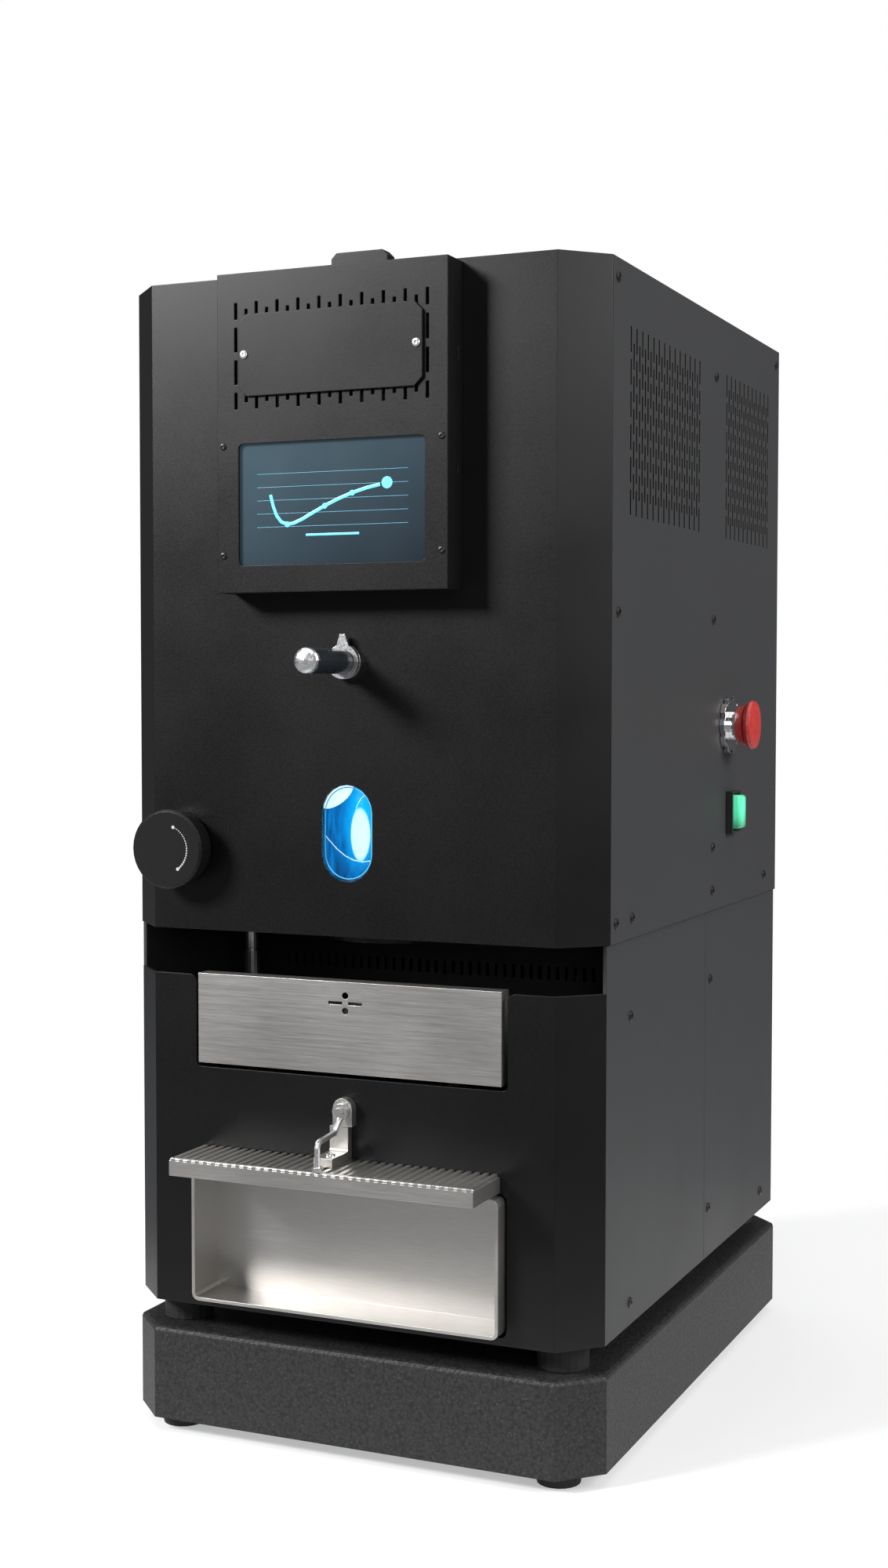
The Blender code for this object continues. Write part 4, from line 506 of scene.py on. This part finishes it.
def drawn_line(name, points, radius, flat, material, body, closed=False):
    """A rounded line through points on an upright plane, pressed flat front to back."""
    curve = bpy.data.curves.new(name, "CURVE")
    curve.dimensions = "3D"
    curve.bevel_depth = radius * MM
    curve.bevel_resolution = 2
    curve.use_fill_caps = True
    spline = curve.splines.new("POLY")
    spline.points.add(len(points) - 1)
    centre = at(*points[0])
    for point, place in zip(spline.points, points):
        offset = at(*place) - centre
        point.co = (*offset, 1)
    spline.use_cyclic_u = closed
    drawn = bpy.data.objects.new(name + "_path", curve)
    bpy.context.scene.collection.objects.link(drawn)
    mesh = bpy.data.meshes.new_from_object(drawn)
    bpy.data.objects.remove(drawn)
    bm = bmesh.new()
    bm.from_mesh(mesh)
    bpy.data.meshes.remove(mesh)
    bmesh.ops.scale(bm, vec=(1, flat, 1), verts=bm.verts)
    bmesh.ops.translate(bm, vec=centre, verts=bm.verts)
    return finished(name, bm, material, body, smooth=True)


def round_dot(bm, place, direction, radius, thickness):
    bmesh.ops.create_cone(
        bm, cap_ends=True, segments=24, radius1=radius * MM, radius2=radius * MM * 0.96,
        depth=thickness * MM, matrix=facing(place, direction),
    )


# Screws of the panels

UPPER_HALF = 141
LOWER_HALF = 139.5
REAR = 380
PANEL_SCREW = 2.9
REAR_SCREW = 2.4
UPPER_SIDE = [(29.8, 629), (210.6, 602.7), (349.5, 629.6), (32.1, 457.4), (208, 458.9)]
UPPER_SIDE += [(209.6, 322.8), (327.9, 297), (209, 296.9), (57.2, 295.8), (30.8, 295.3)]
LOWER_SIDE = [(211, 243.2), (60, 242.7), (330, 87.9), (209.6, 104.6), (60.9, 87.4)]
right_places = [at(UPPER_HALF, y, z) for y, z in UPPER_SIDE]
left_places = [at(-UPPER_HALF, y, z) for y, z in UPPER_SIDE]
screws("upper_side_screws_right", right_places, (1, 0, 0), PANEL_SCREW, black_screw)
sunk = Vector((1.2 * MM, 0, 0))
screws("upper_side_screws_left", [p + sunk for p in left_places], (-1, 0, 0), PANEL_SCREW, black_screw)
for side, word in ((1, "right"), (-1, "left")):
    lower = [at(side * LOWER_HALF, y, z) for y, z in LOWER_SIDE]
    screws("lower_side_screws_" + word, lower, (side, 0, 0), PANEL_SCREW, black_screw)


def countersunk_panel(name, node, places, direction, radius, depth):
    """A copy of a panel with a flat-bottomed seat cut for each screw head."""
    bm = bmesh.new()
    bm.from_mesh(nodes[node].data)
    bmesh.ops.remove_doubles(bm, verts=bm.verts, dist=0.000001)
    panel = finished(name, bm, slotted_coat, "cabinet")
    seats = bmesh.new()
    for place in places:
        bmesh.ops.create_cone(
            seats, cap_ends=True, segments=20, radius1=radius * MM, radius2=radius * 1.1 * MM,
            depth=2 * depth * MM, matrix=facing(place, direction),
        )
    mesh = bpy.data.meshes.new(name + "_seats")
    seats.to_mesh(mesh)
    seats.free()
    cutter = bpy.data.objects.new(name + "_seats", mesh)
    bpy.context.scene.collection.objects.link(cutter)
    cut = panel.modifiers.new("seats", "BOOLEAN")
    cut.object = cutter
    cut.operation = "DIFFERENCE"
    cut.solver = "EXACT"
    bpy.context.view_layer.update()
    whole = bpy.data.meshes.new_from_object(panel.evaluated_get(bpy.context.evaluated_depsgraph_get()))
    panel.modifiers.clear()
    panel.data = whole
    bpy.data.objects.remove(cutter)
    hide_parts(node)


countersunk_panel("upper_side_left_panel", "upper_side_left", left_places, (-1, 0, 0), 3.1, 1.2)
rear_upper = [at(x, REAR, z) for x in (-108, 0, 108) for z in (296, 629)]
rear_upper += [at(x, REAR, 462) for x in (-108, 108)]
screws("upper_rear_screws", rear_upper, (0, 1, 0), REAR_SCREW, black_screw)
rear_lower = [at(x, REAR, z) for x in (-108, 108) for z in (87, 248)]
screws("lower_rear_screws", rear_lower, (0, 1, 0), REAR_SCREW, black_screw)

display_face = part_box("display_box")[0].y / MM + MIDDLE.y
plate_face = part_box("name_plate")[0].y / MM + MIDDLE.y
screen_places = [at(x, display_face, z) for x in (-63.5, 63.5) for z in (546.3, 488.4)]
screws("display_screws", screen_places, (0, -1, 0), 1.9, black_screw)
plate_places = [at(x, plate_face, 593.9) for x in (-50, 50)]
screws("plate_screws", plate_places, (0, -1, 0), 2.3, screw_steel)

# Screen: a roast curve rising past its turning point, with its marker and a time bar

screen_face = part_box("display_screen")[0].y / MM + MIDDLE.y - 0.06
curve_points = [(-36, 520), (-34.4, 514), (-32.4, 509), (-29.6, 505.6), (-26, 504.2)]
curve_points += [(-22, 504.8), (-17, 506.8), (-11, 509.8), (-4, 513.2), (4, 516.6)]
curve_points += [(12, 519.4), (20, 521.6), (28, 523.2)]


def screen_line(name, points, radius, flat, material):
    places = [(x, screen_face, z) for x, z in points]
    drawn_line(name, places, radius, flat, material, "cabinet")


screen_line("roast_curve", curve_points, 0.85, 0.12, screen_cyan)
bm = bmesh.new()
round_dot(bm, at(32, screen_face, 524), (0, -1, 0), 3.1, 0.16)
for x in (-26, -4, 12):
    round_dot(bm, at(x, screen_face, dict(curve_points)[x]), (0, -1, 0), 1.5, 0.24)
finished("roast_markers", bm, screen_cyan, "cabinet")
screen_line("time_bar", [(-15, 498.4), (16, 498.4)], 0.55, 0.15, screen_cyan)
for index, z in enumerate((503, 510, 517, 524, 531)):
    screen_line(f"scale_line_{index}", [(-44, z), (44, z)], 0.12, 0.4, screen_dim)

# Knob: its printed scale, a broken arc with a dot at each end

knob_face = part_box("control_knob")[0].y / MM + MIDDLE.y - 0.05
knob_centre = (-102, 330)
SCALE_RADIUS = 12.9


def on_knob(angle):
    a = math.radians(angle)
    across, up = SCALE_RADIUS * math.cos(a), SCALE_RADIUS * math.sin(a)
    return (knob_centre[0] + across, knob_face, knob_centre[1] + up)


bm = bmesh.new()
for step, angle in enumerate(range(64, -52, -6)):
    size = 0.3 + 0.3 * step / 19
    round_dot(bm, at(*on_knob(angle)), (0, -1, 0), size, 0.1)
for angle in (70, -56):
    round_dot(bm, at(*on_knob(angle)), (0, -1, 0), 1.0, 0.1)
finished("knob_scale", bm, print_white, "control_knob")
for first, last in ((62, 44), (38, 22), (16, -4), (-10, -26), (-32, -46)):
    count = 6
    arc = [on_knob(first + (last - first) * i / count) for i in range(count + 1)]
    name = f"knob_arc_{first + 60}"
    drawn_line(name, arc, 0.14, 0.16, print_white, "control_knob")

# Window: painted glint along the seal round its edge, a painted reflection, the gleam, on its upper left and
# painted reflections of edges

WINDOW_HALF = 15.1
WINDOW_HEIGHT = 51.8
WINDOW_LEVEL = 340.5
pane_low, pane_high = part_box("sight_glass")
pane_front = pane_low.y / MM + MIDDLE.y
pane_back = pane_high.y / MM + MIDDLE.y + 0.3


def window_ring(inset, depth, steps=14):
    half = WINDOW_HALF - inset
    rise = WINDOW_HEIGHT / 2 - WINDOW_HALF
    points = []
    for centre, start in ((rise, 0), (-rise, 180)):
        for step in range(steps + 1):
            a = math.radians(start + 180 * step / steps)
            points.append((half * math.cos(a), depth, WINDOW_LEVEL + centre + half * math.sin(a)))
    return points


# A glowing line round the window's edge: painted glint on the seal
seal_glint_ring = window_ring(1.3, pane_front - 0.1)
drawn_line("window_seal_glint", seal_glint_ring, 0.28, 0.5, seal_glint, "cabinet", closed=True)
# A white glowing ellipse just behind the pane: painted reflection on the window's upper left
bm = bmesh.new()
bmesh.ops.create_circle(bm, cap_ends=True, segments=40, radius=1.0)
bmesh.ops.scale(bm, vec=(11.6 * MM, 5.6 * MM, 1), verts=bm.verts)
bmesh.ops.rotate(bm, cent=(0, 0, 0), matrix=Matrix.Rotation(math.radians(34), 3, "Z"), verts=bm.verts)
bmesh.ops.rotate(bm, cent=(0, 0, 0), matrix=Matrix.Rotation(math.radians(90), 3, "X"), verts=bm.verts)
bmesh.ops.translate(bm, vec=at(-8.4, pane_back, 361.2), verts=bm.verts)
bmesh.ops.solidify(bm, geom=bm.faces[:], thickness=0.2 * MM)
finished("window_gleam", bm, gleam_white, "cabinet")
# Pale glowing lines just behind the pane: painted reflections of edges
swirl = [(-15.3, 338.9), (-12.1, 335.7), (-7.9, 331.6), (-2.9, 328.0)]
swirl += [(2.1, 325.9), (7.1, 325.2), (11.8, 325.9)]
edge = [(8.5, 361.3), (6.3, 359.1), (4.2, 355.7), (2.9, 351.5)]
for name, points, radius in (("swirl_reflection", swirl, 0.3), ("glass_edge_reflection", edge, 0.28)):
    places = [(x, pane_back, z) for x, z in points]
    drawn_line(name, places, radius, 0.5, line_pale, "cabinet")

# Bracket: the screw that holds its foot on the shelf

foot_place = at(-2.4, -15.5, 170.3)
screws("bracket_screw", [foot_place], (0, 0, 1), 2.9, satin_chrome)

# Shelf: the rounded fold along its front edge, in front of the ribs


def rounded_block(bm, low, high, radius, segments=3):
    made = bmesh.ops.create_cube(bm, size=1.0)
    size = Vector(high) - Vector(low)
    bmesh.ops.scale(bm, vec=size, verts=made["verts"])
    bmesh.ops.translate(bm, vec=(Vector(low) + Vector(high)) / 2, verts=made["verts"])
    edges = {e for v in made["verts"] for e in v.link_edges}
    bmesh.ops.bevel(
        bm, geom=list(edges), offset=radius * MM, offset_type="OFFSET", segments=segments, profile=0.5,
        affect="EDGES", material=-1,
    )


bm = bmesh.new()
rounded_block(bm, at(-88.6, -36.65, 163.4), at(88.6, -33.4, 165.5), 0.9)
finished("shelf_fold", bm, stainless, "cabinet", smooth=True)

# Rocker: a square-shouldered key in place of the plain arc

bm = bmesh.new()
rounded_block(bm, at(136.5, 239.9, 332.3), at(149.6, 254.1, 352.7), 2.0)
rocker_key = finished("rocker_key", bm, rocker_green, "rocker", smooth=True)
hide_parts("rocker_button")

# Stop button: the red skirt behind its head

STOP_DEPTH = 238.5
STOP_LEVEL = 396
skirt = [(148.7, 9.2), (148.7, 10.8), (149.6, 11.4), (152.9, 12.2), (153.6, 11.0), (153.6, 9.2)]
bm = bmesh.new()
ring = [bm.verts.new(at(x, STOP_DEPTH + r, STOP_LEVEL)) for x, r in skirt]
outline = [bm.edges.new((a, b)) for a, b in zip(ring, ring[1:] + ring[:1])]
centre = at(148, STOP_DEPTH, STOP_LEVEL)
bmesh.ops.spin(
    bm, geom=ring + outline, cent=centre, axis=(1, 0, 0), angle=math.tau, steps=40, use_merge=True
)
bmesh.ops.remove_doubles(bm, verts=bm.verts, dist=0.000001)
finished("stop_skirt", bm, stop_red, "stop_button", smooth=True)

# Floor, light and camera

floor = bmesh.new()
bmesh.ops.create_circle(floor, cap_ends=True, segments=96, radius=0.45)
bmesh.ops.translate(floor, vec=(0.02, 0.08, 0), verts=floor.verts)
mesh = bpy.data.meshes.new("floor")
floor.to_mesh(mesh)
floor.free()
pale = Finish("floor_pale", (0.5, 0.5, 0.5), 0.7, Specular_IOR_Level=0.1)
pale.colour(pale.mix(pale.ramp(pale.noise(3.0), 0.3, 0.7, 0.0, 1.0), (0.49, 0.49, 0.49), (0.51, 0.51, 0.51)))
pale.set("Emission Color", (1, 1, 1, 1))
pale.set("Emission Strength", 0.36)
mesh.materials.append(pale.material)
ground = bpy.data.objects.new("floor", mesh)
bpy.context.scene.collection.objects.link(ground)

world = bpy.data.worlds.new("studio")
bpy.context.scene.world = world
world.use_nodes = True
air = world.node_tree
seen = air.nodes.new("ShaderNodeBackground")
seen.inputs["Color"].default_value = (1, 1, 1, 1)
seen.inputs["Strength"].default_value = 1.0
fill = air.nodes["Background"]
fill.inputs["Color"].default_value = (0.95, 0.97, 1.0, 1)
fill.inputs["Strength"].default_value = 0.09
sky = air.nodes.new("ShaderNodeTexCoord")
height = air.nodes.new("ShaderNodeSeparateXYZ")
low_glow = air.nodes.new("ShaderNodeMapRange")
for name, value in (("From Min", -0.28), ("From Max", -0.08), ("To Min", 0.42), ("To Max", 0.09)):
    low_glow.inputs[name].default_value = value
air.links.new(sky.outputs["Generated"], height.inputs[0])
air.links.new(height.outputs["Z"], low_glow.inputs["Value"])
air.links.new(low_glow.outputs["Result"], fill.inputs["Strength"])
choice = air.nodes.new("ShaderNodeMixShader")
path = air.nodes.new("ShaderNodeLightPath")
air.links.new(path.outputs["Is Camera Ray"], choice.inputs[0])
air.links.new(fill.outputs[0], choice.inputs[1])
air.links.new(seen.outputs[0], choice.inputs[2])
air.links.new(choice.outputs[0], air.nodes["World Output"].inputs["Surface"])


def softbox(name, place, aim, width, height, power, colour=(1, 1, 1)):
    light = bpy.data.lights.new(name, "AREA")
    light.shape = "RECTANGLE"
    light.size = width
    light.size_y = height
    light.energy = power
    light.color = colour
    lamp = bpy.data.objects.new(name, light)
    lamp.location = place
    lamp.rotation_euler = (Vector(aim) - Vector(place)).to_track_quat("-Z", "Y").to_euler()
    bpy.context.scene.collection.objects.link(lamp)


softbox("top_light", (0.0, 0.0, 3.0), (0, 0, 0), 4.4, 4.4, 95)
softbox("right_light", (2.6, -0.05, 1.7), (0, 0, 0.5), 1.2, 1.4, 92)
softbox("left_light", (-1.72, -1.95, 1.75), (-0.05, 0, 0.62), 0.9, 0.7, 140)
softbox("front_light", (1.3, -2.6, 1.0), (0, 0, 0.4), 1.0, 1.0, 12)

FOCAL = 2635.55
PICTURE_HEIGHT = 2000
yaw, pitch, roll = (math.radians(a) for a in (23.5644, 2.6055, 0.0481))
back = Vector((math.sin(yaw) * math.cos(pitch), -math.cos(yaw) * math.cos(pitch), math.sin(pitch)))
right = Vector((math.cos(yaw), math.sin(yaw), 0))
up = back.cross(right)
right, up = right * math.cos(roll) + up * math.sin(roll), up * math.cos(roll) - right * math.sin(roll)
lens = bpy.data.cameras.new("camera")
lens.sensor_fit = "VERTICAL"
lens.sensor_height = 24
lens.lens = FOCAL / PICTURE_HEIGHT * lens.sensor_height
camera = bpy.data.objects.new("camera", lens)
turn = Matrix((right, up, back)).transposed().to_4x4()
camera.matrix_world = Matrix.Translation(at(487.317, -987.469, 417.049)) @ turn
bpy.context.scene.collection.objects.link(camera)
bpy.context.scene.camera = camera
bpy.context.scene.view_settings.view_transform = "Standard"
